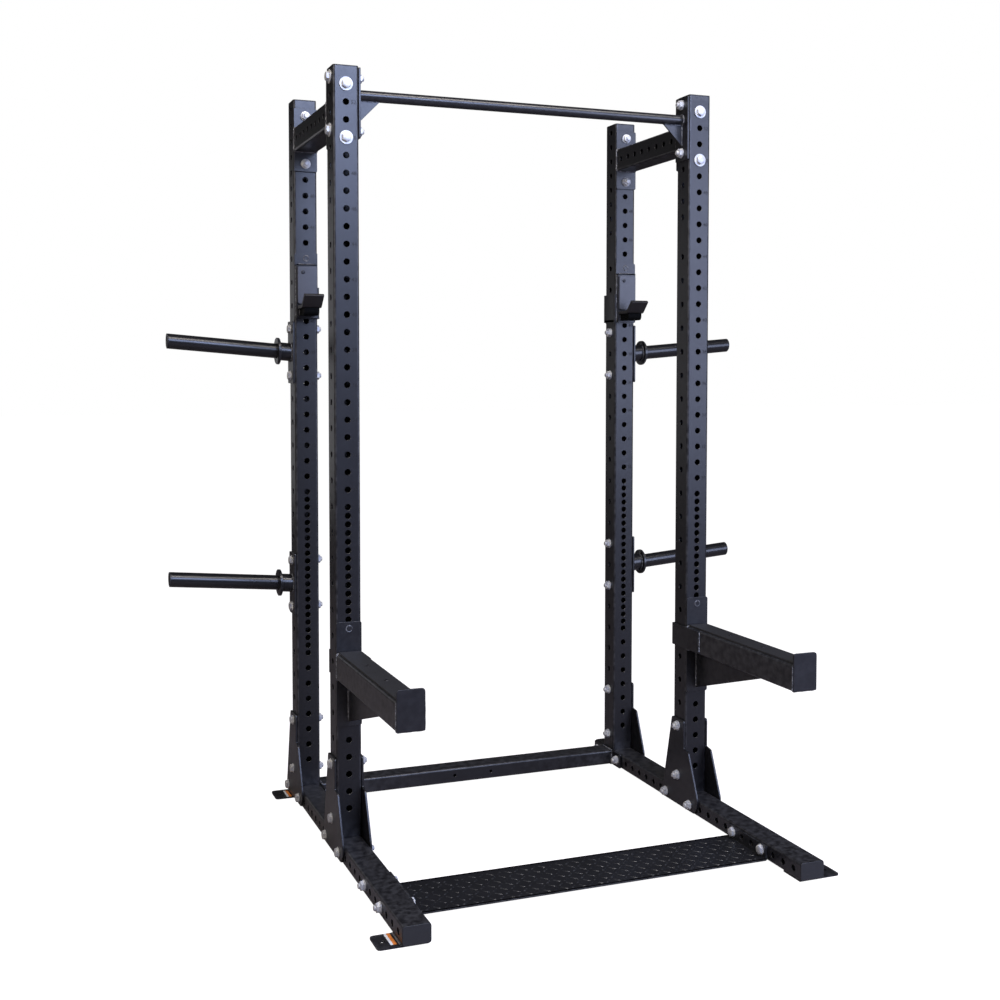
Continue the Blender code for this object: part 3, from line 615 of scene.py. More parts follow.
# ---------------------------------------------------------------- making pieces
def make(name, shape, finish, slot, body="rack", stands_for="", bevel=0.0, loose=False):
    """One finished piece: its mesh, its finish, the body it rides on and the node it stands for.

    A closed shape has its doubled points merged and its faces turned outwards; a loose one, whose
    walls already face outwards, is left as it was worked out.
    """
    mesh = bpy.data.meshes.new(name)
    mesh.from_pydata(shape[0], [], shape[1])
    if not loose:
        work = bmesh.new()
        work.from_mesh(mesh)
        bmesh.ops.remove_doubles(work, verts=work.verts, dist=2e-6)
        bmesh.ops.recalc_face_normals(work, faces=work.faces)
        work.to_mesh(mesh)
        work.free()
    mesh.shade_smooth()
    obj = bpy.data.objects.new(name, mesh)
    bpy.context.scene.collection.objects.link(obj)
    mesh.materials.append(finish)
    if bevel:
        edge = obj.modifiers.new("edges", "BEVEL")
        edge.width = bevel
        edge.segments = 2
        edge.limit_method = "ANGLE"
        edge.angle_limit = math.radians(32)
        edge.harden_normals = True
    else:
        mesh.set_sharp_from_angle(angle=math.radians(34))
    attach(obj, body)
    if stands_for:
        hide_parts(stands_for)
    return obj


def steel(name, shape, **how):
    return make(name, shape, how.pop("finish", COAT), how.pop("slot", "black_powder_coat"), **how)


def hardware(name, shape, **how):
    return make(name, shape, ZINC, "bright_zinc", **how)


def welds(name, *beads, slot="black_powder_coat", body="rack"):
    return make(name, gather(*beads), WELD, slot, body)


def plastic(name, shape, finish=BLACK, slot="black_plastic", **how):
    return make(name, shape, finish, slot, **how)


# ---------------------------------------------------------------- uprights, caps and numerals
def front_row():
    """Heights of a front row of holes: 25 wide apart, 21 close together, 7 wide apart."""
    top = FIRST_Z - PITCH * np.arange(25)
    bench = LAST_TOP_Z - INCH * (1 + np.arange(21))
    return np.concatenate([top, bench, bench[-1] - PITCH * (1 + np.arange(7))])


def side_row():
    """Heights of a side row: eight between the top front holes, then every third inch."""
    upper = FIRST_Z + INCH - PITCH * np.arange(8)
    return np.concatenate([upper, CUP_PIN_Z - SIDE_PITCH * np.arange(21), [FOOT_BOLTS_Z[1]]])


def numerals(x, y, heights, numbers, size=0.0160):
    """Small flat numbers standing off a front face, one beside each of the given heights."""
    shapes = []
    for z, number in zip(heights, numbers):
        curve = bpy.data.curves.new("numeral", "FONT")
        curve.body = str(number)
        curve.size = size
        curve.extrude = 0.00012
        curve.resolution_u = 2
        text = bpy.data.objects.new("numeral", curve)
        mesh = text.to_mesh()
        flat = np.empty(len(mesh.vertices) * 3)
        mesh.vertices.foreach_get("co", flat)
        flat = flat.reshape(-1, 3)
        loops = [list(polygon.vertices) for polygon in mesh.polygons]
        turned_up = np.stack([x + flat[:, 0], y - flat[:, 2], z - size * 0.35 + flat[:, 1]], 1)
        shapes.append((turned_up, loops))
        text.to_mesh_clear()
        bpy.data.objects.remove(text)
        bpy.data.curves.remove(curve)
    return gather(*shapes)


def make_uprights():
    """Four tubes with hole rows on every wall, a cap in each top and numbers beside the front rows."""
    for row, y in (("front", FRONT_Y), ("rear", REAR_Y)):
        for side, sign in SIDES:
            x = sign * SIDE_X
            holes = {"+Y": front_row(), "-Y": front_row(), "+X": side_row(), "-X": side_row()}
            steel(f"upright_tube_{row}_{side}",
                    drilled_tube("Z", (x, y), (HALF, HALF), FOOT_Z, TOP_Z, holes),
                    stands_for=f"upright_{row}_{side}", loose=True)
            low, high = limits(f"top_cap_{row}_{side}")
            outline = eased(rectangle(low[0], high[0], low[1], high[1]), 0.008)
            plastic(f"tube_cap_{row}_{side}", prism("Z", outline, high[2] - 0.003, high[2]),
                    stands_for=f"top_cap_{row}_{side}", bevel=0.0012)
            heights = front_row()
            count = len(heights)
            picked = np.arange(1, count - 1, 2)
            picked = picked[(picked < 25) | (picked > 45)]
            steel(f"hole_numerals_{row}_{side}",
                    numerals(x + 0.0145, y - HALF - 0.0001, heights[picked], count - picked),
                    finish=INK, loose=True)


# ---------------------------------------------------------------- rails and feet
def tab_outline(sign, near, far):
    """A bolt-down tab seen from above, its two free corners rounded."""
    inner, outer = sign * (SIDE_X - HALF + 0.004), sign * (SIDE_X + HALF + 0.061)
    corners = [(inner, near), (outer, near), (outer, far), (inner, far)]
    return eased(corners, [0.001, 0.012, 0.012, 0.001])


def drilled_tab(sign, near, far):
    """A tab as a ring of faces from its outline in to its round hole, above, below and through."""
    outline = tab_outline(sign, near, far)
    centre = np.array([sign * (SIDE_X + HALF + 0.0366), (near + far) / 2])
    spoke = outline - centre
    around = len(outline)
    circle = 0.007 * spoke / np.linalg.norm(spoke, axis=1, keepdims=True)
    stack = [(outline, 0.0), (outline, TAB), (centre + circle * 1.1, TAB), (centre + circle, TAB - 0.0007),
            (centre + circle, 0.0), (outline, 0.0)]
    points = np.concatenate([placed("Z", flat[:, 0], flat[:, 1], level) for flat, level in stack])
    return points, quads(len(stack), around)


def make_rails():
    """Rails whose hole rows stop at the feet, with a tab and a plug at each end and two left stripes."""
    holes = RAIL_END * -1 + 0.677 + SPACING_HALF - 35.25 * INCH + PITCH * np.arange(25)
    tab_inset, tab_length = 0.010, 0.080
    for y in (FRONT_Y, REAR_Y):
        holes = holes[(holes < y - 0.113) | (holes > y + 0.118)]
    for side, sign in SIDES:
        x = sign * SIDE_X
        ends = RAIL_END - PLUG
        steel(f"rail_tube_{side}",
                drilled_tube("Y", (x, RAIL_MID), (HALF, (RAIL_TOP - TAB) / 2), -ends, ends,
                {"+X": holes, "-X": holes}), stands_for=f"base_rail_{side}", loose=True)
        for row, end in (("front", -1), ("rear", 1)):
            near = end * (RAIL_END - tab_inset)
            far = near - end * tab_length
            steel(f"floor_tab_{row}_{side}", drilled_tab(sign, near, far))
            edge = sign * (SIDE_X + HALF)
            welds(f"tab_weld_{row}_{side}", seam((edge, near, TAB), (edge, far, TAB), WAY_Z, 0.0028))
            low, high = limits(f"rail_cap_{row}_{side}")
            face = end * RAIL_END
            outline = eased(rectangle(low[0], high[0], low[2], high[2]), 0.008)
            plastic(f"rail_plug_{row}_{side}", prism("Y", outline, face - end * 0.003, face),
                    stands_for=f"rail_cap_{row}_{side}", bevel=0.0012)
            if side == "left":
                y0, y1 = sorted((near - end * 0.0120, far + end * 0.0015))
                for colour, finish, middle, wide in (("white", WHITE, -0.6392, 0.0070),
                        ("orange", ORANGE, -0.6311, 0.0092)):
                    stripe = slab((middle - wide / 2, y0, TAB - 0.0002),
                            (middle + wide / 2, y1, TAB + 0.00015))
                    make(f"tab_stripe_{colour}_{row}", stripe, finish, "black_powder_coat")


def foot_outline(y):
    """Side view of a foot plate: straight beside the bolts, stepped and splayed down to the rail."""
    bottom = TAB + 0.005
    top = FOOT_BOLTS_Z[0] + 0.0235
    rise = top - bottom
    front = y - HALF
    corners = [(y + HALF, top), (front, top), (front, bottom + 0.68 * rise),
            (front - 0.0287, bottom + 0.665 * rise), (front - 0.087, bottom + 0.18 * rise),
            (front - 0.087, bottom + 0.09 * rise), (front - 0.0687, bottom), (y + HALF + 0.066, bottom)]
    return eased(corners, [0.006, 0.008, 0.003, 0.006, 0.008, 0.006, 0.006, 0.006])


def make_feet():
    """Outer gussets at all four feet, and inner ones at the front, with their bolts."""
    for row, y in (("front", FRONT_Y), ("rear", REAR_Y)):
        spots = [(y, z) for z in FOOT_BOLTS_Z] + [(y + s * SIDE_PITCH, RAIL_MID) for s in (-1, 1)]
        for side, sign in SIDES:
            near = sign * (SIDE_X + HALF + GAP)
            far = near + sign * PLATE
            inner = sign * INNER_X
            deep = inner - sign * PLATE
            steel(f"foot_gusset_{row}_{side}", prism("X", foot_outline(y), near, far),
                    stands_for=f"foot_plate_{row}_{side}_outer", bevel=EDGE)
            seats = [deep] * 4
            if row == "front":
                steel(f"foot_gusset_front_inner_{side}", prism("X", foot_outline(y), inner, deep),
                        stands_for=f"foot_plate_front_{side}_inner", bevel=EDGE)
            else:
                seats = [sign * (SIDE_X - HALF)] * 2 + [deep] * 2
            hardware(f"foot_hardware_{row}_{side}",
                    gather(*[bolt("X", spot, far, seat) for spot, seat in zip(spots, seats)]))


def make_crossmember():
    """The tube between the rear feet, welded to a flange at each end."""
    half_height = (RAIL_TOP - TAB) / 2 - GAP
    tube = drilled_tube("X", (REAR_Y, RAIL_MID), (HALF, half_height), -INNER_X + PLATE, INNER_X - PLATE,
            {"-Y": [-0.067, 0.067]}, radius=0.005)
    steel("crossmember_tube", tube, stands_for="rear_crossmember", loose=True)
    for side, sign in SIDES:
        end = sign * (INNER_X - PLATE)
        flange = end_plate("X", (REAR_Y, PLATE_HALF), (RAIL_MID, half_height), sign * INNER_X, end)
        steel(f"crossmember_flange_{side}", flange, bevel=EDGE)
        line = around_tube("X", (REAR_Y, RAIL_MID), (HALF, half_height), end)
        welds(f"crossmember_weld_{side}", bead(line, WAY_X, 0.0026))


# ---------------------------------------------------------------- tread footplate
def lugs(low_x, high_x, low_y, high_y, level, pitch=0.0265):
    """Raised tread: lens-shaped lugs on a square grid, each turned the other way from its neighbours.

    Along a lug, s runs from -1 to 1 and its half width is 3.4 mm times sqrt(1 - s^2); across it, t
    runs from -1 to 1 and its height is 1.5 mm times sqrt(1 - s^2) (1 - t^4).
    """
    s = np.linspace(-1, 1, 7)[:, None]
    t = np.linspace(-1, 1, 5)[None, :]
    lens = np.sqrt(np.clip(1 - s ** 2, 0, 1))
    lug = np.stack([0.0125 * s + 0 * t, 0.0034 * lens * t, 0.0015 * lens * (1 - t ** 4) - 0.0001], -1)
    lug = lug.reshape(-1, 3)
    column = np.arange(low_x + pitch / 2, high_x, pitch)
    line = np.arange(low_y + pitch / 2, high_y, pitch)
    x, y = (grid.ravel() for grid in np.meshgrid(column, line, indexing="ij"))
    step = np.add.outer(np.arange(len(column)), np.arange(len(line))).ravel()
    angle = math.pi / 4 * np.where(step % 2, 1, -1)
    cos, sin = np.cos(angle)[:, None], np.sin(angle)[:, None]
    points = np.stack([x[:, None] + cos * lug[:, 0] - sin * lug[:, 1],
            y[:, None] + sin * lug[:, 0] + cos * lug[:, 1],
            level + np.broadcast_to(lug[:, 2], (len(x), len(lug)))], -1).reshape(-1, 3)
    cell = np.array(quads(7, 5, closed=False))[:, ::-1]
    faces = (cell[None] + (np.arange(len(x)) * len(lug))[:, None, None]).reshape(-1, 4).tolist()
    return points, faces


def make_footplate():
    """A folded sheet with raised lugs, and a drilled flange bolted to the rail at each end."""
    reach = INNER_X
    low, high = STEP_Y - PLATE_HALF, STEP_Y + PLATE_HALF
    bend, thick, flange_half = TAB + 0.0078, 0.005, 0.0176
    corners = [(-reach, bend), (-reach, TAB), (reach, TAB), (reach, bend), (reach - PLATE, bend),
            (reach - PLATE, TAB + thick), (-reach + PLATE, TAB + thick), (-reach + PLATE, bend)]
    outline = eased(corners, [0.0002, 0.0070, 0.0070, 0.0002, 0.0002, 0.0018, 0.0018, 0.0002])
    steel("tread_sheet", prism("Y", outline, low, high), finish=TREAD, stands_for="tread_footplate",
            bevel=0.0006)
    steel("tread_lugs", lugs(-reach + 0.010, reach - 0.010, low + 0.004, high - 0.004, TAB + thick),
            finish=TREAD, loose=True)
    spots = STEP_Y + PITCH * (np.arange(4) - 1.5)
    for side, sign in SIDES:
        out = np.array([-sign, 0.0, 0.0])
        along = np.array([0.0, sign * 1.0, 0.0])
        across = np.cross(along, out)
        face = np.array([sign * (reach - PLATE), 0.0, RAIL_MID])
        ends = sorted((sign * low, sign * high))
        flange = drilled_wall(face, across, along, out, 2 * flange_half, *ends, sign * spots, INCH, PLATE)
        edge = eased(rectangle(low, high, RAIL_MID - flange_half, RAIL_MID + flange_half), 0.0001, 2)
        rim = placed("X", edge[None, :, 0], edge[None, :, 1],
                np.array([sign * reach, sign * (reach - PLATE)])[:, None])
        order = 1 if sign < 0 else -1
        band = (rim, [loop[::order] for loop in quads(2, len(edge))])
        steel(f"tread_flange_{side}", gather(flange, band), finish=TREAD, loose=True)
        hardware(f"tread_hardware_{side}",
                gather(*[bolt("X", (y, RAIL_MID), sign * (reach - PLATE), sign * (SIDE_X + HALF))
                for y in (spots[0], spots[3])]))


# ---------------------------------------------------------------- top members and bar
def make_side_members():
    """Drilled tubes between the tops of the front and rear uprights, with bolted flanges."""
    front, rear = FRONT_Y + HALF + GAP, REAR_Y - HALF - GAP
    middle = (front + rear) / 2
    holes = middle + PITCH * (np.arange(8) - 3.5)
    for side, sign in SIDES:
        x = sign * SIDE_X
        steel(f"side_member_tube_{side}",
                drilled_tube("Y", (x, MEMBER_Z), (HALF, HALF), front + PLATE, rear - PLATE,
                {"+X": holes, "-X": holes}), stands_for=f"top_side_member_{side}", loose=True)
        for row, face, way in (("front", front, 1), ("rear", rear, -1)):
            inside, outside = face + way * PLATE, face - way * (TUBE + GAP)
            flange = end_plate("Y", (x, HALF), (MEMBER_Z, PLATE_HALF), face, inside)
            steel(f"side_member_flange_{row}_{side}", flange, bevel=EDGE)
            line = around_tube("Y", (x, MEMBER_Z), (HALF, HALF), inside)
            welds(f"side_member_weld_{row}_{side}", bead(line, WAY_Y, 0.0030))
            for level, lift in (("upper", 1), ("lower", -1)):
                centre = (x, MEMBER_Z + lift * BOLT_SPREAD / 2)
                hardware(f"member_hardware_{row}_{side}_{level}", bolt("Y", centre, outside, inside, WASHER),
                        stands_for=f"member_bolt_{row}_{side}_{level}")


def make_pull_up_bar():
    """A round bar welded to a plate and a sloping gusset at each end."""
    face = INNER_X
    reach = face - PLATE
    bar = turned("X", (FRONT_Y, BAR_Z), [(-reach, BAR_RADIUS), (0.0, BAR_RADIUS), (reach, BAR_RADIUS)], 48)
    make("pull_up_tube", bar, SATIN, "satin_black", stands_for="pull_up_bar")
    low, high = BRACKET_Z - PLATE_HALF, BRACKET_Z + PLATE_HALF - GAP
    gusset_long, gusset_tall, gusset_nose = 0.066, 0.082, 0.016
    for side, sign in SIDES:
        far = sign * reach
        outline = eased(rectangle(FRONT_Y - HALF, FRONT_Y + HALF, low, high), PLATE_CORNER)
        steel(f"bar_plate_{side}", prism("X", outline, sign * face, far), bevel=EDGE)
        tip = far - sign * gusset_long
        corners = [(far, BAR_Z), (tip, BAR_Z), (tip, BAR_Z - gusset_nose), (far, BAR_Z - gusset_tall)]
        gusset = prism("Y", corners, FRONT_Y - PLATE / 2, FRONT_Y + PLATE / 2)
        steel(f"bar_gusset_{side}", gusset, bevel=EDGE)
        beads = [bead(around_bar("X", (FRONT_Y, BAR_Z), BAR_RADIUS, far), WAY_X, 0.0028)]
        under = BAR_Z - 0.0158
        for y in (FRONT_Y - PLATE / 2, FRONT_Y + PLATE / 2):
            beads.append(seam((far, y, BAR_Z - 0.018), (far, y, BAR_Z - 0.081), WAY_Y, 0.0020))
            beads.append(seam((far, y, under), (tip, y, under), WAY_Z, 0.0020))
        welds(f"bar_weld_{side}", *beads, slot="satin_black")
        for level, lift in (("upper", 1), ("lower", -1)):
            centre = (FRONT_Y, BRACKET_Z + lift * BOLT_SPREAD / 2)
            hardware(f"bar_hardware_{side}_{level}", bolt("X", centre, sign * (SIDE_X + HALF), far, WASHER),
                    stands_for=f"bar_bolt_{side}_{level}")


def make_horns():
    """Plate-storage horns: a bolted plate, a stub, a collar and a rising peg with a plug in its end."""
    face = SIDE_X + HALF + GAP
    plate = face + PLATE
    collar = plate + 0.038
    step = collar + 0.009
    tip = face + 0.405 - PLUG
    peg, stub, rim = PEG_RADIUS, STUB_RADIUS, 0.0435
    profile = [(plate - 0.002, stub), (collar, stub), (collar, 0.0420), (collar + 0.0010, rim),
            (step - 0.0010, rim), (step, 0.0420), (step, peg), (tip - 0.0006, peg),
            (tip, peg - 0.0006), (tip, peg - 0.0040), (tip - 0.03, peg - 0.0040)]
    plug = [(tip - 0.012, peg - 0.0044), (tip + GAP, peg - 0.0044), (tip + GAP, peg),
            (tip + 0.0026, peg), (tip + PLUG, peg - 0.0016), (tip + PLUG, 0.011),
            (tip + 0.0024, 0.010), (tip + 0.0024, 0.0)]
    for side, sign in SIDES:
        for level, z in zip(("upper", "lower"), HORN_Z):
            solid, end = (turned("X", (REAR_Y, z), np.array(line) * (sign, 1), 56, HORN_RISE, sign * face)
                    for line in (profile, plug))
            make(f"horn_peg_{level}_{side}", solid, SATIN, "satin_black",
                    stands_for=f"storage_horn_{level}_{side}")
            back = end_plate("X", (REAR_Y, HALF), (z, PLATE_HALF), sign * face, sign * plate)
            steel(f"horn_plate_{level}_{side}", back, slot="satin_black", bevel=EDGE)
            plastic(f"horn_plug_{level}_{side}", end, stands_for=f"horn_cap_{level}_{side}")
            beads = []
            for at, size in ((plate, 0.0030), (collar, 0.0022)):
                line = around_bar("X", (REAR_Y, z + HORN_RISE * (at - face)), stub, sign * at)
                beads.append(bead(line, WAY_X, size))
            welds(f"horn_weld_{level}_{side}", *beads, slot="satin_black")
            hardware(f"horn_hardware_{level}_{side}",
                    gather(*[bolt("X", (REAR_Y, z + s * BOLT_SPREAD / 2), sign * plate,
                    sign * (SIDE_X - HALF)) for s in (-1, 1)]))


# ---------------------------------------------------------------- J-cups
def make_j_cup(side, sign):
    """A bent bracket with a shallow box and a block, two plastic liners and a pin.

    Its heights are measured down from the pin and its depths forward from the box.
    """
    body = f"j_cup_{side}"
    x, z0 = sign * SIDE_X, CUP_PIN_Z
    front = REAR_Y - HALF - GAP
    thick = 0.005
    face = front - thick
    inner = x - sign * (HALF + GAP)
    skin = inner - sign * thick
    back = REAR_Y + HALF + GAP
    low, flange_top = z0 - 0.196, z0 - 0.094
    low_x, high_x = sorted((inner + sign * 0.001, x + sign * HALF))
    radii = [0.004, 0.010, 0.010, 0.004] if sign > 0 else [0.010, 0.004, 0.004, 0.010]
    shapes = [prism("Y", eased(rectangle(low_x, high_x, low, z0 + 0.018), radii), face, front)]
    lip, turn = inner + sign * 0.024, inner + sign * 0.020
    ell = [(inner, back + thick), (lip, back + thick), (lip, back), (inner, back), (inner, front),
            (turn, front), (turn, face), (skin, face), (skin, back + thick)]
    wrap = eased(ell, [0.0001, 0.001, 0.001, 0.0015, 0.0015, 0.001, 0.001, 0.006, 0.006])
    shapes.append(prism("Z", wrap, low + 0.004, flange_top))
    foot = [(face + 0.006, low + 0.012), (back - 0.004, low + 0.012), (back - 0.012, low),
            (face + 0.001, low)]
    shapes.append(prism("X", eased(foot, [0.001, 0.003, 0.004, 0.001]), skin, inner))
    steel(f"cup_bracket_{side}", gather(*shapes), body=body, stands_for=f"j_cup_body_{side}", bevel=0.0008)

    nose = face - 0.010
    half, wall, box_top = 0.035, 0.004, 0.020
    left, right = x - half, x + half
    channel = [(left, face), (left, nose), (right, nose), (right, face), (right - wall, face),
            (right - wall, nose + wall), (left + wall, nose + wall), (left + wall, face)]
    box = prism("Z", eased(channel, [0.0002, 0.002, 0.002, 0.0002, 0.0002, 0.001, 0.001, 0.0002]),
            z0 - 0.193, z0 - box_top)
    lid = prism("Z", eased(rectangle(left, right, nose, face), [0.002, 0.002, 0.0002, 0.0002]),
            z0 - box_top - wall, z0 - 0.0199)
    steel(f"cup_box_{side}", gather(box, lid), body=body, bevel=0.0007)

    block, heel, shelf = 0.025, 0.187, 0.1637
    fold, lip, thick = 0.0648, (0.102, 0.1265), 0.010
    skew = thick * math.sqrt(0.5)
    profile = [(nose + 0.002, z0 - heel), (nose - fold + 0.008, z0 - heel), (nose - fold + GAP, z0 - 0.179),
            (nose - fold + GAP, z0 - 0.164), (nose + 0.002, z0 - 0.164)]
    solid = prism("X", eased(profile, [0.001, 0.006, 0.006, 0.002, 0.001]), x - block, x + block)
    # The block under the hook pad gets the near-black, weakly reflecting finish: painted shade for the hook's
    # shadowed underside
    plastic(f"cup_block_{side}", solid, PAINTED_SHADE_BLACK, "black_powder_coat", body=body, bevel=0.0012)
    outline = eased(rectangle(x - LINER_HALF, x + LINER_HALF, z0 - 0.148, z0 - 0.028), 0.008)
    ahead = nose - GAP - LINER
    plastic(f"cup_back_pad_{side}", prism("Y", outline, nose - GAP, ahead), GREY, "grey_liner_plastic",
            body=body, stands_for=f"j_cup_back_liner_{side}", bevel=0.0011)
    pad = [(GAP, shelf), (fold, shelf), lip, (lip[0] - skew, lip[1] - skew),
            (fold + thick - 2 * skew, shelf - thick), (GAP, shelf - thick)]
    pad = eased((nose, z0) - np.array(pad), [0.001, 0.006, 0.003, 0.003, 0.006, 0.001])
    plastic(f"cup_hook_pad_{side}", prism("X", pad, x - LINER_HALF, x + LINER_HALF), HOOK, body=body,
            stands_for=f"j_cup_hook_liner_{side}", bevel=0.0012)
    spots = ((x - 0.014, z0 - 0.046), (x + 0.012, z0 - 0.136))
    steel(f"cup_screws_{side}", gather(*[screw("Y", spot, ahead, -1) for spot in spots]), body=body)
    steel(f"cup_pin_{side}", lock_pin(x, z0, face, front), body=body, stands_for=f"j_cup_pin_{side}")
    beads = [bead(around_bar("Y", (x, z0), 0.0088, face), WAY_Y, 0.0016)]
    for s in (-1, 1):
        edge, root = x + s * half, x + s * (block + 0.0002)
        beads.append(seam((edge, face, z0 - 0.024), (edge, face, z0 - 0.190), WAY_Y, 0.0024))
        beads.append(seam((root, nose, z0 - 0.166), (root, nose, z0 - 0.185), WAY_Y, 0.0018))
    top = z0 - box_top
    beads.append(seam((x - half + 0.006, face, top), (x + half - 0.006, face, top), WAY_Y, 0.0022))
    welds(f"cup_weld_{side}", *beads, body=body)


# ---------------------------------------------------------------- spotter arms
def make_spotter_arm(side, sign):
    """A tube on a bracket plate, with a wrap round the upright, a gusset, an end plate and a liner."""
    body = f"spotter_{side}"
    x, z0 = sign * SIDE_X, ARM_PIN_Z
    front = FRONT_Y - HALF - GAP
    face = front - PLATE
    tube_drop, reach, stop_rise = 0.0725, 0.595, 0.032
    plate_drop, plate_rise = 0.287, 0.020
    gusset_long, gusset_tall, wrap_ahead = 0.405, 0.125, 0.084
    top = z0 - tube_drop
    low = top - TUBE
    middle = (top + low) / 2
    end = FRONT_Y - HALF - reach
    outline = eased(rectangle(x - HALF, x + HALF, z0 - plate_drop, z0 + plate_rise), 0.007)
    steel(f"arm_plate_{side}", prism("Y", outline, face, front), body=body,
            stands_for=f"spotter_arm_{side}", bevel=EDGE)
    steel(f"arm_tube_{side}", drilled_tube("Y", (x, middle), (HALF, HALF), end + PLATE, face, {}),
            body=body, loose=True)
    outline = eased(rectangle(x - HALF, x + HALF, low, top + stop_rise), [0.004, 0.004, 0.010, 0.010])
    steel(f"arm_stop_{side}", prism("Y", outline, end, end + PLATE), body=body, bevel=0.0010)
    tip = face - gusset_long
    corners = [(face, low + 0.001), (tip, low + 0.001), (tip, low - 0.003), (face, low - gusset_tall)]
    steel(f"arm_gusset_{side}", prism("X", corners, x - PLATE / 2, x + PLATE / 2), body=body, bevel=0.0008)
    inner = x - sign * (HALF + GAP)
    skin = inner - sign * PLATE
    back = FRONT_Y + HALF + GAP
    ahead = FRONT_Y - HALF - wrap_ahead
    corners = [(inner, ahead), (inner, back), (x + sign * HALF, back), (x + sign * HALF, back + PLATE),
            (skin, back + PLATE), (skin, ahead)]
    wrap = eased(corners, [0.001, 0.0025, 0.001, 0.001, 0.008, 0.001])
    steel(f"arm_wrap_{side}", prism("Z", wrap, top - 0.0715, top - 0.0015), body=body, bevel=EDGE)
    strip = eased(rectangle(x - LINER_HALF, x + LINER_HALF, end + PLATE + GAP, face - 0.004), 0.006)
    pad_top = top + GAP + LINER
    plastic(f"arm_pad_{side}", prism("Z", strip, top + GAP, pad_top), body=body,
            stands_for=f"spotter_liner_{side}", bevel=0.0012)
    screws = [screw("Z", (x, y), pad_top, 1) for y in (-0.2157, -0.3935)]
    steel(f"arm_screws_{side}", gather(*screws), body=body)
    steel(f"arm_pin_{side}", lock_pin(x, z0, face, front), body=body, stands_for=f"spotter_pin_{side}")
    halves = (HALF - 0.0004, HALF - 0.0004)
    beads = [bead(around_bar("Y", (x, z0), 0.0088, face), WAY_Y, 0.0016),
            bead(around_tube("Y", (x, middle), halves, face), WAY_Y, 0.0034),
            bead(around_tube("Y", (x, middle), halves, end + PLATE), WAY_Y, 0.0026)]
    for edge in (x - PLATE / 2, x + PLATE / 2):
        beads.append(seam((edge, face, low - 0.004), (edge, face, low - 0.123), WAY_Y, 0.0026))
        beads.append(seam((edge, face - 0.004, low), (edge, tip + 0.004, low), WAY_Z, 0.0018))
    side_x = x - sign * HALF
    beads.append(seam((side_x, ahead, top - 0.070), (side_x, ahead, top - 0.004), WAY_Y, 0.0030))
    welds(f"arm_weld_{side}", *beads, body=body)


# ---------------------------------------------------------------- floor, light and camera
def lay_floor():
    """A wide pale floor that is seen as white and lights the steel only dimly."""
    far, level = 40.0, -0.0004
    corners = [(-far, -far, level), (far, -far, level), (far, far, level), (-far, far, level)]
    mesh = bpy.data.meshes.new("floor")
    mesh.from_pydata(corners, [], [(0, 1, 2, 3)])
    floor = bpy.data.objects.new("floor", mesh)
    bpy.context.scene.collection.objects.link(floor)
    f = Finish("pale_floor")
    cloud = f.noise(0.6, 3.0)
    colour = f.mix((0.27, 0.235, 0.235), (0.31, 0.275, 0.275), cloud)
    seen = f.node("ShaderNodeLightPath", output="Is Camera Ray")
    glow = f.mix((0.0, 0.0, 0.0), (1.0, 1.0, 1.0), seen)
    mesh.materials.append(f.done(colour, 0.8, f.bump(f.noise(300.0), 0.0001, 0.2),
            Emission_Color=glow, Emission_Strength=1.0))


def softbox(name, place, aim, size, power, colour):
    """A rectangular lamp turned towards the point that it lights."""
    data = bpy.data.lights.new(name, "AREA")
    data.shape = "RECTANGLE"
    data.size, data.size_y = size
    data.energy = power
    data.color = colour
    lamp = bpy.data.objects.new(name, data)
    bpy.context.scene.collection.objects.link(lamp)
    lamp.visible_camera = False
    lamp.location = place
    away = np.array(aim, float) - np.array(place, float)
    level = math.hypot(away[0], away[1])
    lamp.rotation_euler = Euler((math.atan2(level, -away[2]), 0.0, math.atan2(-away[0], away[1])))


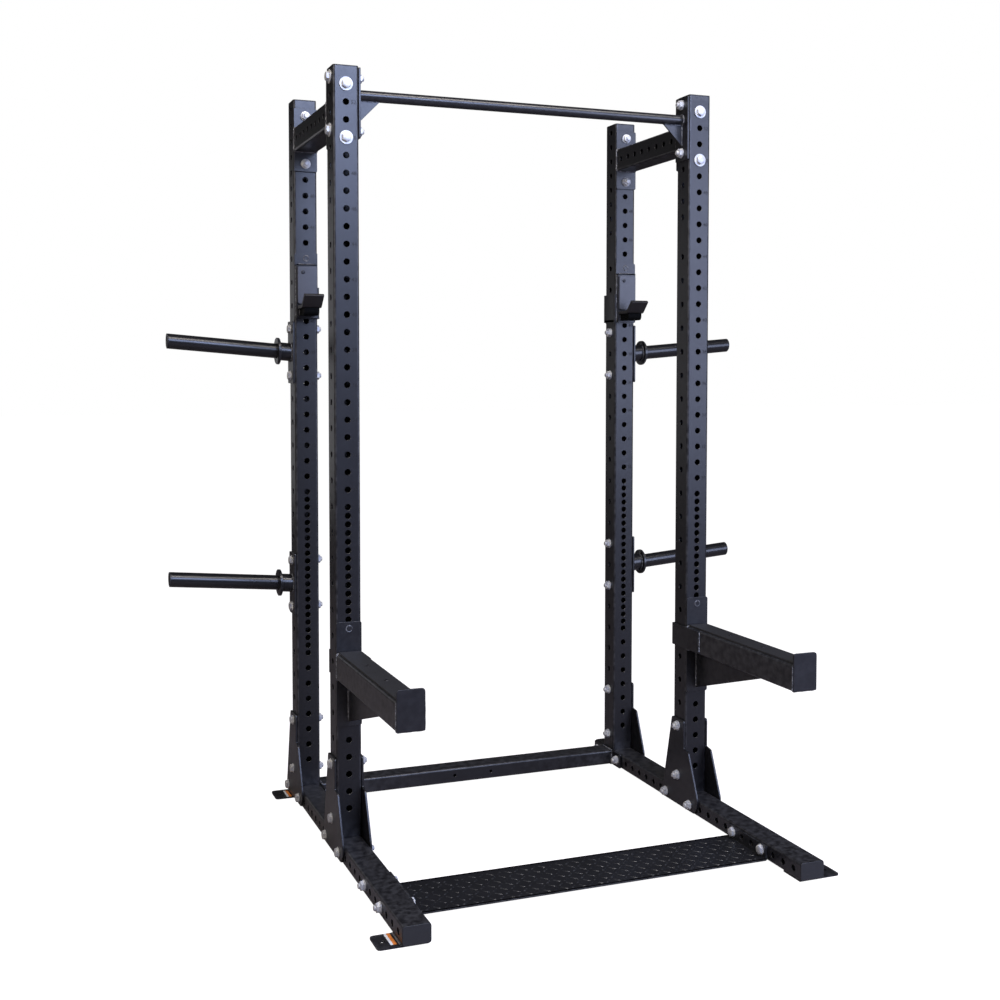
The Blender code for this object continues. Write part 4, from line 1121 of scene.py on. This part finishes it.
def light_studio():
    """A dim room seen as white, two cool softboxes in front, one overhead, a side fill and a back strip."""
    world = bpy.data.worlds.new("studio")
    world.use_nodes = True
    tree = world.node_tree
    room = tree.nodes["Background"]
    room.inputs["Color"].default_value = (0.96, 0.95, 1.0, 1.0)
    room.inputs["Strength"].default_value = 0.035
    backdrop = tree.nodes.new("ShaderNodeBackground")
    backdrop.inputs["Color"].default_value = (1.0, 1.0, 1.0, 1.0)
    seen = tree.nodes.new("ShaderNodeLightPath")
    either = tree.nodes.new("ShaderNodeMixShader")
    tree.links.new(seen.outputs["Is Camera Ray"], either.inputs[0])
    tree.links.new(room.outputs[0], either.inputs[1])
    tree.links.new(backdrop.outputs[0], either.inputs[2])
    tree.links.new(either.outputs[0], tree.nodes["World Output"].inputs["Surface"])
    bpy.context.scene.world = world
    bpy.context.scene.view_settings.view_transform = "Standard"
    for lamp in (("left_key", (0.4, -4.2, 3.5), (-0.4, 0.0, 1.9), (2.4, 1.6), 210, (0.52, 0.63, 1.0)),
            ("right_key", (3.1, -4.2, 2.2), (0.6, 0.0, 1.5), (1.9, 2.8), 140, (0.60, 0.68, 1.0)),
            ("overhead", (-0.2, -1.7, 4.6), (0.0, 0.3, 1.4), (4.5, 0.8), 165, (1.0, 0.94, 0.91)),
            ("fill", (-4.2, -1.4, 2.6), (0.0, 0.0, 1.0), (2.2, 2.2), 55, (1.0, 0.94, 0.90)),
            ("back", (-1.8, 4.0, 1.6), (-0.5, 0.0, 1.4), (0.5, 1.9), 4.2, (0.95, 0.95, 1.0))):
        softbox(*lamp)


def aim_camera():
    """A camera in front and to the left, a little above the middle, turned and shifted to frame the cage."""
    data = bpy.data.cameras.new("view")
    data.sensor_width = 36.0
    data.lens = 46.157
    data.shift_x = 0.03076
    data.shift_y = -0.07165
    data.clip_start = 0.1
    data.clip_end = 200.0
    camera = bpy.data.objects.new("view", data)
    bpy.context.scene.collection.objects.link(camera)
    camera.location = (-1.5505, -3.6155, 0.3937 + LAST_TOP_Z)
    camera.rotation_euler = Euler((math.radians(90 - 2.533), math.radians(0.036), math.radians(-20.476)))
    bpy.context.scene.camera = camera


make_uprights()
make_rails()
make_feet()
make_crossmember()
make_footplate()
make_side_members()
make_pull_up_bar()
make_horns()
for side, sign in SIDES:
    make_j_cup(side, sign)
    make_spotter_arm(side, sign)
lay_floor()
light_studio()
aim_camera()
